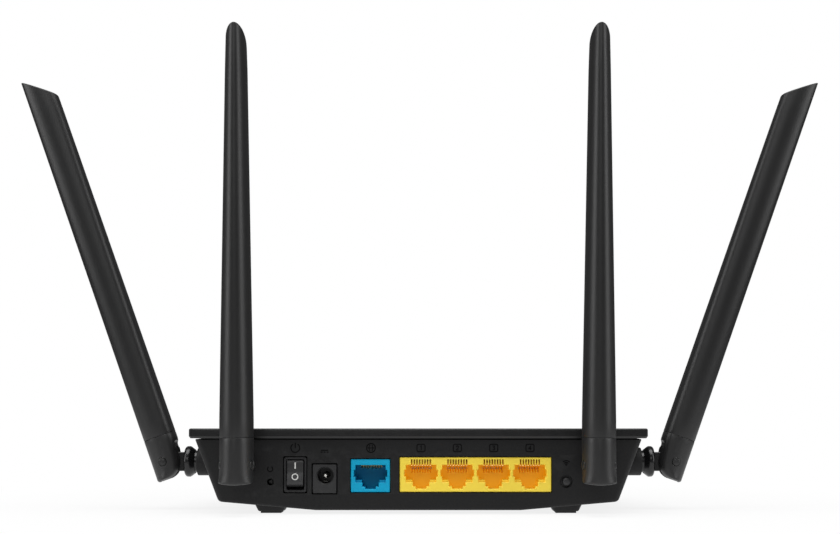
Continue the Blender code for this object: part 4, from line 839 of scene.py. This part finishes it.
def port_block(name, centre, size, places, top, combed):
    """The block with its ports cut out. The rails stay as two low steps in each port."""
    bm = bmesh.new()
    face = rounded_rectangle(centre, size, 0.0003, steps=2)
    stack(bm, face, [(SETBACK, 0.0002), (SETBACK + 0.0002, 0.0), (SETBACK + BLOCK_DEPTH, 0.0)])
    obj = mesh_object(name, bm)
    for x in places:
        bm = bmesh.new()
        port_cavity(bm, x, top)
        cut(obj, bm)
        if combed:
            bm = bmesh.new()
            comb_slots(bm, x, top)
            cut(obj, bm)
    bm = bmesh.new()
    bottom = top - PORT_HEIGHT
    for x in places:
        for side in SIDES:
            ends = sorted((x + side * LATCH_WIDTHS[0] / 2, x + side * (PORT_WIDTH / 2 + 0.0001)))
            low = (ends[0] + (0.0003 if side > 0 else 0.0), 0.0022, bottom - 0.0002)
            high = (ends[1] - (0.0003 if side < 0 else 0.0), PORT_DEPTH + 0.0005, bottom + 0.0009)
            box(bm, low, high)
    add(obj, bm)
    return obj


LAN_TOP = LAN_CENTRE[1] + LAN_SIZE[1] / 2 - 0.0029
WAN_TOP = WAN_CENTRE[1] + WAN_SIZE[1] / 2 - 0.0023
lan_places = [LAN_CENTRE[0] + (i - 1.5) * PORT_PITCH for i in range(4)]
lan = port_block("lan_ports", LAN_CENTRE, LAN_SIZE, lan_places, LAN_TOP, True)
fit(lan, "lan_resin", "case", ["lan_jack_block"], ROUTER)
wan = port_block("wan_port", WAN_CENTRE, WAN_SIZE, [WAN_CENTRE[0]], WAN_TOP, False)
fit(wan, "wan_resin", "case", ["wan_jack"], ROUTER)
print("ports at x =", [round(x * 1000, 2) for x in lan_places], "mm")

# %% [markdown]
# Each port holds eight gold-plated spring wires. They come from a strip at the back, dip into the port
# where the plug touches them, and rise again to rest in the comb. Each wire bends smoothly, as formed wire
# does, so its path is a curve through a few points.

# %% Spring wires
def smooth(points, steps=5):
    """Points on a Catmull-Rom curve through the given ones."""
    knots = [Vector(p) for p in points]
    knots = [2 * knots[0] - knots[1]] + knots + [2 * knots[-1] - knots[-2]]
    path = []
    for a, b, c, d in zip(knots, knots[1:], knots[2:], knots[3:]):
        for k in range(steps):
            t = k / steps
            linear, square = c - a, 2 * a - 5 * b + 4 * c - d
            path.append(0.5 * (2 * b + linear * t + square * t**2 + (3 * b - a - 3 * c + d) * t**3))
    return path + [knots[-2]]


def ribbon(bm, x, path, width, thickness):
    """A flat wire of that width along a (y, z) path."""
    rings = []
    for i, point in enumerate(path):
        run = (path[min(i + 1, len(path) - 1)] - path[max(i - 1, 0)]).normalized()
        up = Vector((-run.y, run.x)) * thickness / 2
        sides = ((-1, -1), (1, -1), (1, 1), (-1, 1))
        rings.append([(x + s * width / 2, *(point + up * t)) for s, t in sides])
    loft(bm, rings)


def contact_set(name, x, top, drop, node):
    """The eight wires of one port, joined by the strip at their back."""
    back = SETBACK + PORT_DEPTH - 0.0010
    path = smooth([
        (back, top - drop / 2), (back - 0.0012, top - drop / 2), (back - 0.0030, top - drop),
        (SETBACK + 0.0040, top - 0.0008), (SETBACK + 0.0022, top - 0.0003),
    ])
    bm = bmesh.new()
    for i in range(WIRES):
        ribbon(bm, x + (i - (WIRES - 1) / 2) * WIRE_PITCH, path, WIRE_WIDTH, WIRE_THICKNESS)
    half = WIRE_PITCH * WIRES / 2
    box(bm, (x - half, back - 0.0004, top - drop / 2 - 0.0004), (x + half, back, top - drop / 2 + 0.0004))
    fit(mesh_object(name, bm), "contact_gold", "case", [node], ROUTER)


for i, x in enumerate(lan_places, 1):
    contact_set(f"lan_wires_{i}", x, LAN_TOP, 0.0032, f"lan_contacts_{i}")
contact_set("wan_wires", WAN_CENTRE[0], WAN_TOP, 0.0016, "wan_contacts")
print("5 sets of", WIRES, "wires")

# %% [markdown]
# ## The power inlet
# A plain black block with a round hole, a bright centre pin, and a bent spring at the bottom of the hole.
# The mouth of the hole is countersunk so that a plug finds it.

# %% Power inlet
DC_DEPTH, DC_HOLE, DC_HOLE_DEPTH, DC_PIN = 0.014, 0.00305, 0.0095, 0.001
DC_AXIS, _ = place_of("dc_jack_pin")
bm = bmesh.new()
face = rounded_rectangle(DC_CENTRE, DC_SIZE, 0.0006)
stack(bm, face, [(SETBACK, 0.00025), (SETBACK + 0.00025, 0.0), (SETBACK + DC_DEPTH, 0.0)])
dc = mesh_object("power_inlet", bm)
bm = bmesh.new()
floor_y = SETBACK + DC_HOLE_DEPTH
profile = [(DC_HOLE + 0.0015, SETBACK - PAST), (DC_HOLE + 0.0004, SETBACK), (DC_HOLE, SETBACK + 0.0005),
           (DC_HOLE, floor_y), (DC_PIN + GAP, floor_y), (DC_PIN + GAP, 2 * DC_DEPTH)]
turned(bm, profile, "Y", 48, DC_AXIS)
cut(dc, bm)
fit(dc, "switch_plastic", "case", ["dc_jack_body"], ROUTER)

bm = bmesh.new()
start = SETBACK + 0.0018
turns = [math.radians(a) for a in range(30, 91, 15)]
profile = [(DC_PIN * 0.25, start)]
profile += [(DC_PIN * math.sin(a), start + DC_PIN * 0.8 * (1 - math.cos(a))) for a in turns]
profile.append((DC_PIN, SETBACK + DC_DEPTH - GAP))
turned(bm, profile, "Y", 32, DC_AXIS)
fit(mesh_object("inlet_pin", bm), "nickel", "case", ["dc_jack_pin"], ROUTER)

bm = bmesh.new()
low = DC_AXIS[1] - DC_HOLE * 0.78
bends = [(0.0024, 0.0001), (0.0034, 0.0005), (0.0050, 0.0003), (DC_HOLE_DEPTH - GAP, -0.0001)]
path = smooth([(SETBACK + w, low + rise) for w, rise in bends])
ribbon(bm, DC_AXIS[0], path, 0.0018, 0.00025)
fit(mesh_object("inlet_spring", bm), "nickel", "case", ["dc_jack_spring"], ROUTER)

# %% [markdown]
# ## The power switch
# A bought-in rocker switch in its own black frame. The frame's face has a raised rim. The rocker rests with
# its upper end pressed in, its face is slightly hollow at both ends for a fingertip, and the I and O marks
# are pad-printed in white, so they are thin raised strokes on the rocker.

# %% Switch frame
SWITCH_OPENING, SWITCH_DEPTH, SWITCH_BACK = (0.0068, 0.01155), 0.011, 0.002
PIVOT_DEPTH, STUB = 0.003, 0.0009
bm = bmesh.new()
face = rounded_rectangle(SWITCH_CENTRE, SWITCH_SIZE, 0.0009)
rim = [(0.00025, 0.0005), (0.0, 0.0004), (0.0, 0.00015), (0.00015, 0.0), (SWITCH_DEPTH, 0.0)]
stack(bm, face, [(SETBACK + w, inwards) for w, inwards in rim])
switch = mesh_object("switch_frame", bm)
bm = bmesh.new()
opening = rounded_rectangle(SWITCH_CENTRE, SWITCH_OPENING, 0.0003, steps=2)
steps = [(-PAST, -0.0002), (SETBACK + 0.00025, -0.0002), (SETBACK + 0.00045, 0.0)]
stack(bm, opening, steps + [(SWITCH_DEPTH - SWITCH_BACK, 0.0)])
cut(switch, bm)
bm = bmesh.new()
x, z = SWITCH_CENTRE
pivot = (SETBACK + PIVOT_DEPTH, z)
prism(bm, circle(STUB + GAP, 20, pivot), "X", x - SWITCH_SIZE[0], x + SWITCH_SIZE[0])
cut(switch, bm)
fit(switch, "switch_plastic", "case", ["power_switch_housing"], ROUTER)

# %% Rocker and its marks
joints = {joint["name"]: joint for joint in frame["joints"]}
ROCKER_TILT = math.radians(-11)
FACE_HALF, FACE_PROUD, ROCKER_BACK = 0.00475, 0.0012, 0.0045
ROCKER = ROUTER @ Matrix.Translation((x, SETBACK + PIVOT_DEPTH, z)) @ Matrix.Rotation(ROCKER_TILT, 4, "X")
front = -(PIVOT_DEPTH + FACE_PROUD)
CREST, RIDGE = 0.0005, 0.0006
SHOULDER, SHOULDER_OUT = 0.0004, 0.00005
BELLY_Y, BELLY_HALF, BACK_HALF = -0.0020, 0.0050, 0.0046


def face_depth(v):
    """The rocker's face: a low crest across the middle and a hollow towards each end."""
    share = abs(v) / FACE_HALF
    return front + CREST * math.sin(share * math.pi) * 0.4 + (RIDGE - CREST * share) * (1 - share)


levels = [-FACE_HALF + 2 * FACE_HALF * k / 24 for k in range(25)]
outline = [(ROCKER_BACK, -BACK_HALF), (BELLY_Y, -BELLY_HALF), (front + SHOULDER, -FACE_HALF - SHOULDER_OUT)]
outline += [(face_depth(v) + (0.00015 if abs(v) == FACE_HALF else 0.0), v) for v in levels]
outline += [(front + SHOULDER, FACE_HALF + SHOULDER_OUT), (BELLY_Y, BELLY_HALF), (ROCKER_BACK, BACK_HALF)]
half_width = SWITCH_OPENING[0] / 2 - GAP
bm = bmesh.new()
prism(bm, outline, "X", -half_width, half_width)
rocker = mesh_object("rocker_key", bm)
bm = bmesh.new()
reach = SWITCH_SIZE[0] / 2 - GAP
prism(bm, circle(STUB, 20), "X", -reach, reach)
add(rocker, bm)
soften(rocker, 0.0001)
fit(rocker, "switch_plastic", "power_rocker", ["power_rocker"], ROCKER)

INK, INK_SUNK = 0.00006, 0.00003


def ink_ring(bm, centre, outer, inner, depth_at, sides=40):
    """A flat printed ring that follows the face it lies on."""
    rows = []
    for r, sunk in ((outer, INK_SUNK), (outer, -INK), (inner, -INK), (inner, INK_SUNK)):
        ring = [(u, depth_at(centre + v) + sunk, centre + v) for u, v in circle(r, sides)]
        rows.append([bm.verts.new(point) for point in ring])
    for low_row, high_row in zip(rows, rows[1:] + rows[:1]):
        for i in range(sides):
            j = (i + 1) % sides
            bm.faces.new((low_row[i], low_row[j], high_row[j], high_row[i]))


def ink_bar(bm, centre, width, height, depth_at, steps=8):
    """A flat printed bar that follows the face it lies on."""
    rings = []
    for k in range(steps + 1):
        v = centre - height / 2 + height * k / steps
        corners = ((-1, INK_SUNK), (1, INK_SUNK), (1, -INK), (-1, -INK))
        rings.append([(side * width / 2, depth_at(v) + sunk, v) for side, sunk in corners])
    loft(bm, rings)


bm = bmesh.new()
ink_bar(bm, 0.0028, 0.00045, 0.0024, face_depth)
fit(mesh_object("mark_on", bm), "label_film", "power_rocker", place=ROCKER)
bm = bmesh.new()
ink_ring(bm, -0.0015, 0.0013, 0.00092, face_depth)
fit(mesh_object("mark_off", bm), "label_film", "power_rocker", place=ROCKER)
print("rocker rests at", round(math.degrees(ROCKER_TILT)), "degrees")

# %% [markdown]
# ## The two buttons
# The round button at the right stands a little proud of its turned hole. The one at the left is a reset
# plunger at the bottom of a pin hole, so that nobody presses it by mistake.

# %% Buttons
CAP, CAP_PROUD, FLANGE, FLANGE_THICK, STEM, STEM_END = 0.00145, 0.0006, 0.003, 0.0008, 0.0012, 0.006
bm = bmesh.new()
behind = WALL + GAP
crown = ((0.35, 0.0), (0.72, 0.00004), (0.92, 0.00016), (1.0, 0.0004))
profile = [(CAP * share, fall - CAP_PROUD) for share, fall in crown]
profile += [(CAP, behind), (FLANGE, behind), (FLANGE, behind + FLANGE_THICK), (STEM, behind + FLANGE_THICK)]
profile.append((STEM, STEM_END))
turned(bm, profile, "Y", 40, WPS_CENTRE)
fit(mesh_object("round_button", bm), "switch_plastic", "wps_button", ["wps_button"], ROUTER)
print("button stands", CAP_PROUD * 1000, "mm proud")

# %% [markdown]
# ## The antennas
# Four equal antennas. Each is a long sleeve pushed over the spigot of a short housing, and the housing
# folds on a pin through the tongue of a swivel base. Each is built once in its own frame: the pin lies on
# X, the swivel base runs along +Y into the case, and the sleeve stands along +Z.

# %% Antenna stations
STATIONS = ("rear_left", "rear_right", "side_left", "side_right")


def station(name):
    """Where the pin is, which way the base points into the case, and how far the arm leans at rest."""
    tilt = joints[f"{name}_tilt"]
    origin = centre_of(f"{name}_hinge_pin")
    across = Vector(tilt["axis"]).normalized()
    into = Vector((0.0, 1.0, 0.0))
    if name.startswith("side"):
        into = Vector((-math.copysign(1.0, origin.x), 0.0, 0.0))
    up = across.cross(into)
    turn = Matrix((across, into, up)).transposed().to_4x4()
    place = Matrix.Translation(origin) @ turn
    return place, place @ Matrix.Rotation(math.radians(-tilt["range_deg"][0]), 4, "X")


print({name: [round(c, 4) for c in station(name)[0].translation] for name in STATIONS})

# %% [markdown]
# The section is like a D: the outer side is a gentle curve and the inner side is flatter, with the widest
# place behind the middle. It narrows slowly to a slanted tip. This double curve is what makes the two
# long soft highlights down each antenna.

# %% Antenna section
TIP, BOTTOM, SEAM = 0.16625, 0.0074, 0.0102
OUTER, INNER_LOW, INNER_TIP = 0.0053, 0.0078, 0.0073
WIDE_LOW, WIDE_TIP, WIDEST, SQUARE = 0.0064, 0.0039, 0.62, 0.7
TAPER_START, SEAM_SHOULDER = 0.018, 0.0025
TIP_SLANT, TIP_ROUND, CORNER = math.radians(37.8), 0.0006, 0.001
SLEEVE_WALL, SPIGOT = 0.0016, 0.0055
ROUND_REACH, RELIEF, RIM_LIFT = 0.0076, 0.0008, 0.0007
SCALLOP, SCALLOP_OUT, SCALLOP_Z = 0.0020, 0.0006, 0.0048
PIN, TONGUE, TONGUE_HALF, SLOT_CLEARANCE = 0.0015, 0.0038, 0.0025, 0.0004
SEAM_GAP, SEAM_ROUND = 0.0001, 0.00015
ARC = 12


def inner_reach(z):
    """How far the inner face lies from the pin. Round the pin it is relieved and follows a circle."""
    if z <= 0:
        return math.sqrt(max(ROUND_REACH**2 - z**2, 0.0)) - RELIEF
    return INNER_LOW + (INNER_TIP - INNER_LOW) * z / TIP


def half_width_at(z):
    share = min(max(z - TAPER_START, 0.0) / (TIP - TAPER_START), 1.0)
    return WIDE_LOW + (WIDE_TIP - WIDE_LOW) * share


def antenna_ring(z, grow=0.0, outer=-OUTER):
    """A level ring at height z, with every side moved out by grow."""
    half, outer, inner = half_width_at(z) + grow, outer - grow, inner_reach(z) + grow
    widest = outer + (inner - outer) * WIDEST
    points = []
    for i in range(-ARC, ARC + 1):
        a = i / ARC * math.pi / 2
        points.append((half * math.sin(a), widest - (widest - outer) * math.cos(a), z))
    for i in range(1, ARC):
        a = i / ARC * math.pi
        across, back = math.cos(a), math.sin(a)
        reach = half * math.copysign(abs(across) ** SQUARE, across)
        points.append((reach, widest + (inner - widest) * back**SQUARE, z))
    return points


def tip_ring(grow, below):
    """The ring where the tip is cut; its outer side is the longest."""
    slope = math.tan(TIP_SLANT)
    return [(x, y, TIP - below - (y + OUTER) * slope) for x, y, _ in antenna_ring(TIP, grow)]


# %% Sleeves and housings
def quarter(radius, steps=4):
    """Pairs (inwards, below) round a quarter circle, from the side to the end."""
    turns = [k / steps * math.pi / 2 for k in range(steps + 1)]
    return [(radius * (1 - math.cos(a)), radius * (1 - math.sin(a))) for a in turns]


def sleeve(name, place):
    """The long upper body, hollow at its lower end for the spigot."""
    start = SEAM + SEAM_GAP
    rings = [antenna_ring(TIP * 0.86, -SLEEVE_WALL), antenna_ring(start, -SLEEVE_WALL)]
    rings += [antenna_ring(start + below, -inwards) for inwards, below in reversed(quarter(SEAM_ROUND, 3))]
    rings += [antenna_ring(TIP * share) for share in (0.1, 0.2, 0.35, 0.5, 0.65, 0.8, 0.9)]
    rings += [tip_ring(-inwards, below) for inwards, below in quarter(TIP_ROUND)]
    bm = bmesh.new()
    loft(bm, rings)
    replaced = [f"{name}_antenna_sleeve"]
    fit(mesh_object(f"{name}_sleeve", bm), "antenna_plastic", f"{name}_arm", replaced, place)


def housing(name, place):
    """The short lower body, slotted for the tongue, bored for the pin, with a finger scallop."""
    rings = []
    for inwards, below in reversed(quarter(CORNER, 5)):
        ring = antenna_ring(-BOTTOM + below, -inwards * 0.5, -OUTER + inwards * 0.7)
        rings.append([(x, y, z + RIM_LIFT * (x / WIDE_LOW) ** 2) for x, y, z in ring])
    rings += [antenna_ring(-BOTTOM * share) for share in (0.6, 0.45, 0.3, 0.15, 0.0)]
    rings += [antenna_ring(SEAM - SEAM_SHOULDER)]
    rings += [antenna_ring(SEAM - below, -inwards) for inwards, below in quarter(SEAM_ROUND, 3)]
    rings += [antenna_ring(SEAM, -SLEEVE_WALL - GAP), antenna_ring(SEAM + SPIGOT, -SLEEVE_WALL - GAP)]
    bm = bmesh.new()
    loft(bm, rings)
    bmesh.ops.triangulate(bm, faces=[face for face in bm.faces if len(face.verts) > 4])
    obj = mesh_object(f"{name}_housing", bm)
    reach, far = TONGUE + SLOT_CLEARANCE, 2 * INNER_LOW
    outline = [(far, reach)]
    turns = [math.radians(a) for a in range(90, 181, 10)]
    outline += [(reach * math.cos(a), reach * math.sin(a)) for a in turns]
    outline += [(-reach, -far), (far, -far)]
    bm = bmesh.new()
    prism(bm, outline, "X", -TONGUE_HALF - GAP, TONGUE_HALF + GAP)
    cut(obj, bm)
    bm = bmesh.new()
    prism(bm, circle(PIN + GAP, 28), "X", -2 * WIDE_LOW, 2 * WIDE_LOW)
    prism(bm, circle(SCALLOP, 28, (INNER_LOW + SCALLOP_OUT, SCALLOP_Z)), "X", -2 * WIDE_LOW, 2 * WIDE_LOW)
    cut(obj, bm)
    fit(obj, "antenna_plastic", f"{name}_arm", [f"{name}_antenna_housing"], place)


for name in STATIONS:
    _, arm_place = station(name)
    sleeve(name, arm_place)
    housing(name, arm_place)
print("4 sleeves and 4 housings")

# %% [markdown]
# The swivel base is turned: a flange with a rounded rim, a neck that passes through the boss, and a split
# collar that snaps in behind it. The tongue on its front is moulded with a shallow groove round its edge,
# where two halves of the mould met, and it carries the hinge pin.

# %% Swivel bases and pins
FLANGE_R, FLANGE_START, FLANGE_LONG, FLANGE_ROUND = 0.0062, 0.0084, 0.0041, 0.0012
GROOVE, TONGUE_EDGE = 0.0003, 0.0002
PIN_TO_BOSS, COLLAR_R, COLLAR_LONG, SPLIT, BORE = 0.0135, 0.0052, 0.0022, 0.0006, 0.0013


def swivel(name, place):
    """The turned base with its tongue, bored for the pin and the lead, and split at its end."""
    end_flange = FLANGE_START + FLANGE_LONG
    collar = PIN_TO_BOSS + BOSS_LENGTH + GAP
    end = collar + COLLAR_LONG
    front_round = reversed(quarter(FLANGE_ROUND, 5))
    back_round = ((0.0, 0.0020), (0.0003, 0.0015), (0.0012, 0.0003), (0.0014, 0.0))
    profile = [(FLANGE_R - inwards, FLANGE_START + below) for inwards, below in front_round]
    profile += [(FLANGE_R - inwards, end_flange - before) for inwards, before in back_round]
    profile += [(ANTENNA_NECK, end_flange), (ANTENNA_NECK, collar), (COLLAR_R, collar)]
    profile += [(COLLAR_R, collar + COLLAR_LONG * 0.4), (ANTENNA_NECK, end)]
    bm = bmesh.new()
    turned(bm, profile, "Y", 56)
    obj = mesh_object(f"{name}_swivel_base", bm)
    bm = bmesh.new()
    deep = FLANGE_START + FLANGE_LONG / 2

    def tongue_outline(r):
        turns = [math.radians(a) for a in range(90, 271, 10)]
        return [(r * math.cos(a), r * math.sin(a)) for a in turns] + [(deep, -r), (deep, r)]

    half = [(GROOVE / 2, TONGUE - GROOVE / 2), (GROOVE, TONGUE)]
    half += [(TONGUE_HALF - TONGUE_EDGE, TONGUE), (TONGUE_HALF, TONGUE - TONGUE_EDGE)]
    across = [(-w, r) for w, r in reversed(half)] + half
    loft(bm, [[(w, u, v) for u, v in tongue_outline(r)] for w, r in across])
    add(obj, bm)
    bm = bmesh.new()
    prism(bm, circle(PIN + GAP, 28), "X", -FLANGE_R, FLANGE_R)
    prism(bm, circle(BORE, 24), "Y", end_flange, end + WALL)
    cut(obj, bm)
    bm = bmesh.new()
    box(bm, (-SPLIT, PIN_TO_BOSS + BOSS_LENGTH / 2, -2 * COLLAR_R), (SPLIT, end + WALL, 2 * COLLAR_R))
    cut(obj, bm)
    fit(obj, "swivel_plastic", f"{name}_swivel", [f"{name}_antenna_base"], place)


def pin(name, place):
    """The steel pin with chamfered ends, and the two plugs that close its bore."""
    half = WIDE_LOW - 0.0014
    ends = [(PIN - 0.00045, 0.0), (PIN - 0.0001, 0.00015), (PIN, 0.0004)]
    profile = [(r, w - half) for r, w in ends] + [(r, half - w) for r, w in reversed(ends)]
    bm = bmesh.new()
    turned(bm, profile, "X", 32)
    fit(mesh_object(f"{name}_pin", bm), "screw_steel", f"{name}_arm", [f"{name}_hinge_pin"], place)
    bm = bmesh.new()
    for side in SIDES:
        plug = PIN + 0.0001
        ends = [(plug, half + 0.0001), (plug, WIDE_LOW - 0.0005), (PIN - 0.0002, WIDE_LOW - 0.0003)]
        turned(bm, [(r, side * w) for r, w in ends], "X", 28)
    fit(mesh_object(f"{name}_plugs", bm), "antenna_plastic", f"{name}_arm", place=place)


for name in STATIONS:
    base_place, arm_place = station(name)
    swivel(name, base_place)
    pin(name, arm_place)
print("4 swivel bases and 4 pins")

# %% [markdown]
# ## Marks on the panel
# The panel's marks are thin raised strokes in matt black ink, so they read darker than the matt panel. Only
# generic ones are made: power, direct current, a globe for the outside network, and the port numbers.

# %% Raised strokes
STROKE, RAISED, SUNK, SLOPE = 0.00042, 0.00009, 0.00005, 0.15


def stroke(bm, points, closed=False, width=STROKE):
    """A raised line along points on the panel."""
    pts = [Vector(p) for p in points]
    count = len(pts)
    rows = []
    for i, p in enumerate(pts):
        before = pts[(i - 1) % count] if closed or i else p
        after = pts[(i + 1) % count] if closed or i < count - 1 else p
        first = (p - before).normalized() if (p - before).length else (after - p).normalized()
        second = (after - p).normalized() if (after - p).length else first
        normal = Vector((-first.y - second.y, first.x + second.x)).normalized()
        grow = 1 / max(normal.dot(Vector((-first.y, first.x))), 0.5)
        out = normal * width / 2 * grow
        a, b = p + out, p - out
        top_a, top_b = a.lerp(b, SLOPE), b.lerp(a, SLOPE)
        section = ((a, SUNK), (top_a, -RAISED), (top_b, -RAISED), (b, SUNK))
        rows.append([bm.verts.new((q.x, y, q.y)) for q, y in section])
    pairs = list(zip(rows, rows[1:])) + ([(rows[-1], rows[0])] if closed else [])
    for low_row, high_row in pairs:
        for k in range(4):
            bm.faces.new((low_row[k], low_row[(k + 1) % 4], high_row[(k + 1) % 4], high_row[k]))
    if not closed:
        bm.faces.new(rows[0])
        bm.faces.new(rows[-1])


def arc_points(centre, radius, start, end, steps=24):
    """Points round part of a circle, from start to end in degrees."""
    turns = [math.radians(start + (end - start) * k / steps) for k in range(steps + 1)]
    return [(centre[0] + radius * math.cos(a), centre[1] + radius * math.sin(a)) for a in turns]


DIGITS = {
    1: [[(-0.25, 0.55), (0.1, 0.9), (0.1, -0.9)]],
    2: [[(-0.5, 0.5), (-0.25, 0.85), (0.25, 0.85), (0.5, 0.45), (0.4, 0.1), (-0.5, -0.85), (0.5, -0.85)]],
    3: [[(-0.5, 0.85), (0.5, 0.85), (0.0, 0.15), (0.4, 0.0), (0.5, -0.45), (0.2, -0.85), (-0.5, -0.75)]],
    4: [[(0.25, -0.9), (0.25, 0.9), (-0.55, -0.35), (0.55, -0.35)]],
}
MARK_Z, DIGIT_SIZE = 0.0253, 0.0009


def port_number(bm, x, digit):
    """A numeral in a small round-cornered frame."""
    frame_line = rounded_rectangle((x, MARK_Z), (0.0031, 0.0028), 0.0006)
    stroke(bm, frame_line, closed=True, width=0.00038)
    for line in DIGITS[digit]:
        stroke(bm, [(x + u * DIGIT_SIZE, MARK_Z + v * DIGIT_SIZE) for u, v in line], width=0.00036)


bm = bmesh.new()
for digit, x in enumerate(lan_places, 1):
    port_number(bm, x, digit)
fit(mesh_object("port_numbers", bm), "case_plastic", "case", place=ROUTER, finish="mark_black")

bm = bmesh.new()
centre = (SWITCH_CENTRE[0], MARK_Z)
stroke(bm, arc_points(centre, 0.0017, 122, 418))
stroke(bm, [(centre[0], centre[1] + 0.0020), (centre[0], centre[1] + 0.0001)])
dashes = [(0.0, 0.0014, 0.0244)] + [(u, 0.00035, 0.0237) for u in (-0.00115, 0.0, 0.00115)]
for u, half, z in dashes:
    stroke(bm, [(DC_CENTRE[0] + u - half, z), (DC_CENTRE[0] + u + half, z)])
globe = (WAN_CENTRE[0] + 0.0002, MARK_Z)
stroke(bm, arc_points(globe, 0.0017, 0, 345), closed=True)
turns = [math.radians(a) for a in range(-60, 61, 15)]
for side in SIDES:
    line = [(globe[0] + side * 0.0007 * math.cos(a), globe[1] + 0.0014 * math.sin(a)) for a in turns]
    stroke(bm, line, width=0.00030)
stroke(bm, [(globe[0] - 0.0014, globe[1]), (globe[0] + 0.0014, globe[1])], width=0.00030)
for radius in (0.0011, 0.0018):
    centre = (WPS_CENTRE[0], WPS_CENTRE[1] + 0.0062)
    stroke(bm, arc_points(centre, radius, 45, 135, 10))
dot = (WPS_CENTRE[0], WPS_CENTRE[1] + 0.0065)
stroke(bm, arc_points(dot, 0.00028, 0, 330, 10), closed=True, width=0.0003)
stroke(bm, arc_points((RESET_CENTRE[0], RESET_CENTRE[1] + 0.0050), 0.0010, 130, 420, 18))
fit(mesh_object("panel_marks", bm), "case_plastic", "case", place=ROUTER, finish="mark_black")
print("marks raised", RAISED * 1000, "mm")

# %% [markdown]
# ## Floor, light and camera
# Products are shown on a white sweep. The table under the router is white, lit as brightly
# as the backdrop, so only a soft shadow shows. The lower bevels of the lid and the antennas see this table,
# which draws their thin bright lines. Two tall softboxes at the sides make the long highlights.

# %% White table
TABLE_HALF = 3.0
bm = bmesh.new()
for u, v in ((-1, -1), (1, -1), (1, 1), (-1, 1)):
    bm.verts.new((u * TABLE_HALF, v * TABLE_HALF, 0.0))
bm.faces.new(bm.verts)
floor = mesh_object("white_table", bm)
material, tree, shader = shader_of("table_paper")
where = placed(tree)
far = put(tree, "VectorMath", {0: where}, operation="LENGTH").outputs["Value"]
ends = {"From Min": 0.10, "From Max": 0.26, "To Min": 0.84}
fade = put(tree, "MapRange", {"Value": far, **ends}, interpolation_type="SMOOTHSTEP").outputs[0]
paper = ranged(tree, noise(tree, 400.0, 4.0, where), 0.0, 1.0, 0.78, 0.84)
shader.inputs["Roughness"].default_value = 0.9
shader.inputs["Specular IOR Level"].default_value = 0.0
tree.links.new(paper, shader.inputs["Base Color"])
lit = ranged(tree, far, 0.16, 0.34, 0.95, 0.10)
power = maths(tree, "MAXIMUM", lit, put(tree, "LightPath").outputs["Is Camera Ray"])
glow = put(tree, "Emission", {"Color": (1.0, 1.0, 1.0, 1.0), "Strength": power}).outputs[0]
blend = put(tree, "MixShader", {0: fade, 1: shader.outputs[0], 2: glow})
tree.links.new(blend.outputs[0], tree.nodes["Material Output"].inputs["Surface"])
floor.data.materials.append(material)
floor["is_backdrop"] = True

# %% Softboxes
def softbox(name, place, target, size, radiance):
    """An even rectangular light of that radiance at place, facing target."""
    light = bpy.data.lights.new(name, "AREA")
    light.shape = "RECTANGLE"
    light.size, light.size_y = size
    light.energy = radiance * math.pi * size[0] * size[1]
    obj = bpy.data.objects.new(name, light)
    bpy.context.scene.collection.objects.link(obj)
    obj.location = place
    obj.rotation_euler = (Vector(target) - Vector(place)).to_track_quat("-Z", "Y").to_euler()
    print(name, "at", place)


middle = (0.0, panel_y, 0.09)
softbox("left_softbox", (-0.95, -0.35, 0.35), middle, (0.55, 1.1), 3.0)
softbox("right_softbox", (0.95, -0.35, 0.35), middle, (0.55, 1.1), 2.7)
softbox("overhead", (0.0, -0.25, 1.35), middle, (1.5, 1.0), 4.0)
softbox("front_fill", (-0.15, -1.55, 0.75), middle, (0.9, 0.5), 2.2)

# %% White backdrop
world = bpy.data.worlds.new("studio")
bpy.context.scene.world = world
world.use_nodes = True
tree = world.node_tree
background = tree.nodes["Background"]
background.inputs["Color"].default_value = (1.0, 1.0, 1.0, 1.0)
strength = ranged(tree, put(tree, "LightPath").outputs["Is Camera Ray"], 0.0, 1.0, 0.10, 1.0)
tree.links.new(strength, background.inputs["Strength"])
print("backdrop:", world.name)

# %% [markdown]
# The camera stands low behind the router, a little above its lid, and far enough that the ends keep their
# true shape. The vertical shift lowers the horizon without tilting the antennas.

# %% Camera
CAMERA_X, CAMERA_DISTANCE, CAMERA_Z, CAMERA_PITCH, AIM_X = 0.0085, 0.585, 0.0368, 92.4, 0.00065
lens = bpy.data.cameras.new("camera")
camera = bpy.data.objects.new("camera", lens)
bpy.context.scene.collection.objects.link(camera)
lens.lens, lens.sensor_width = 65.1, 36.0
lens.shift_y = 0.104
lens.dof.use_dof = False
camera.location = (CAMERA_X, panel_y - CAMERA_DISTANCE, CAMERA_Z)
lens.shift_x = -(CAMERA_X - AIM_X) / CAMERA_DISTANCE * lens.lens / lens.sensor_width
camera.rotation_euler = (math.radians(CAMERA_PITCH), 0.0, 0.0)
bpy.context.scene.camera = camera
bpy.context.scene.view_settings.view_transform = "Standard"
print("camera", CAMERA_DISTANCE, "m behind the panel")

# %% Sizes of the built scene
low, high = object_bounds()
print("built box", [round(v, 5) for v in (*low, *high)])
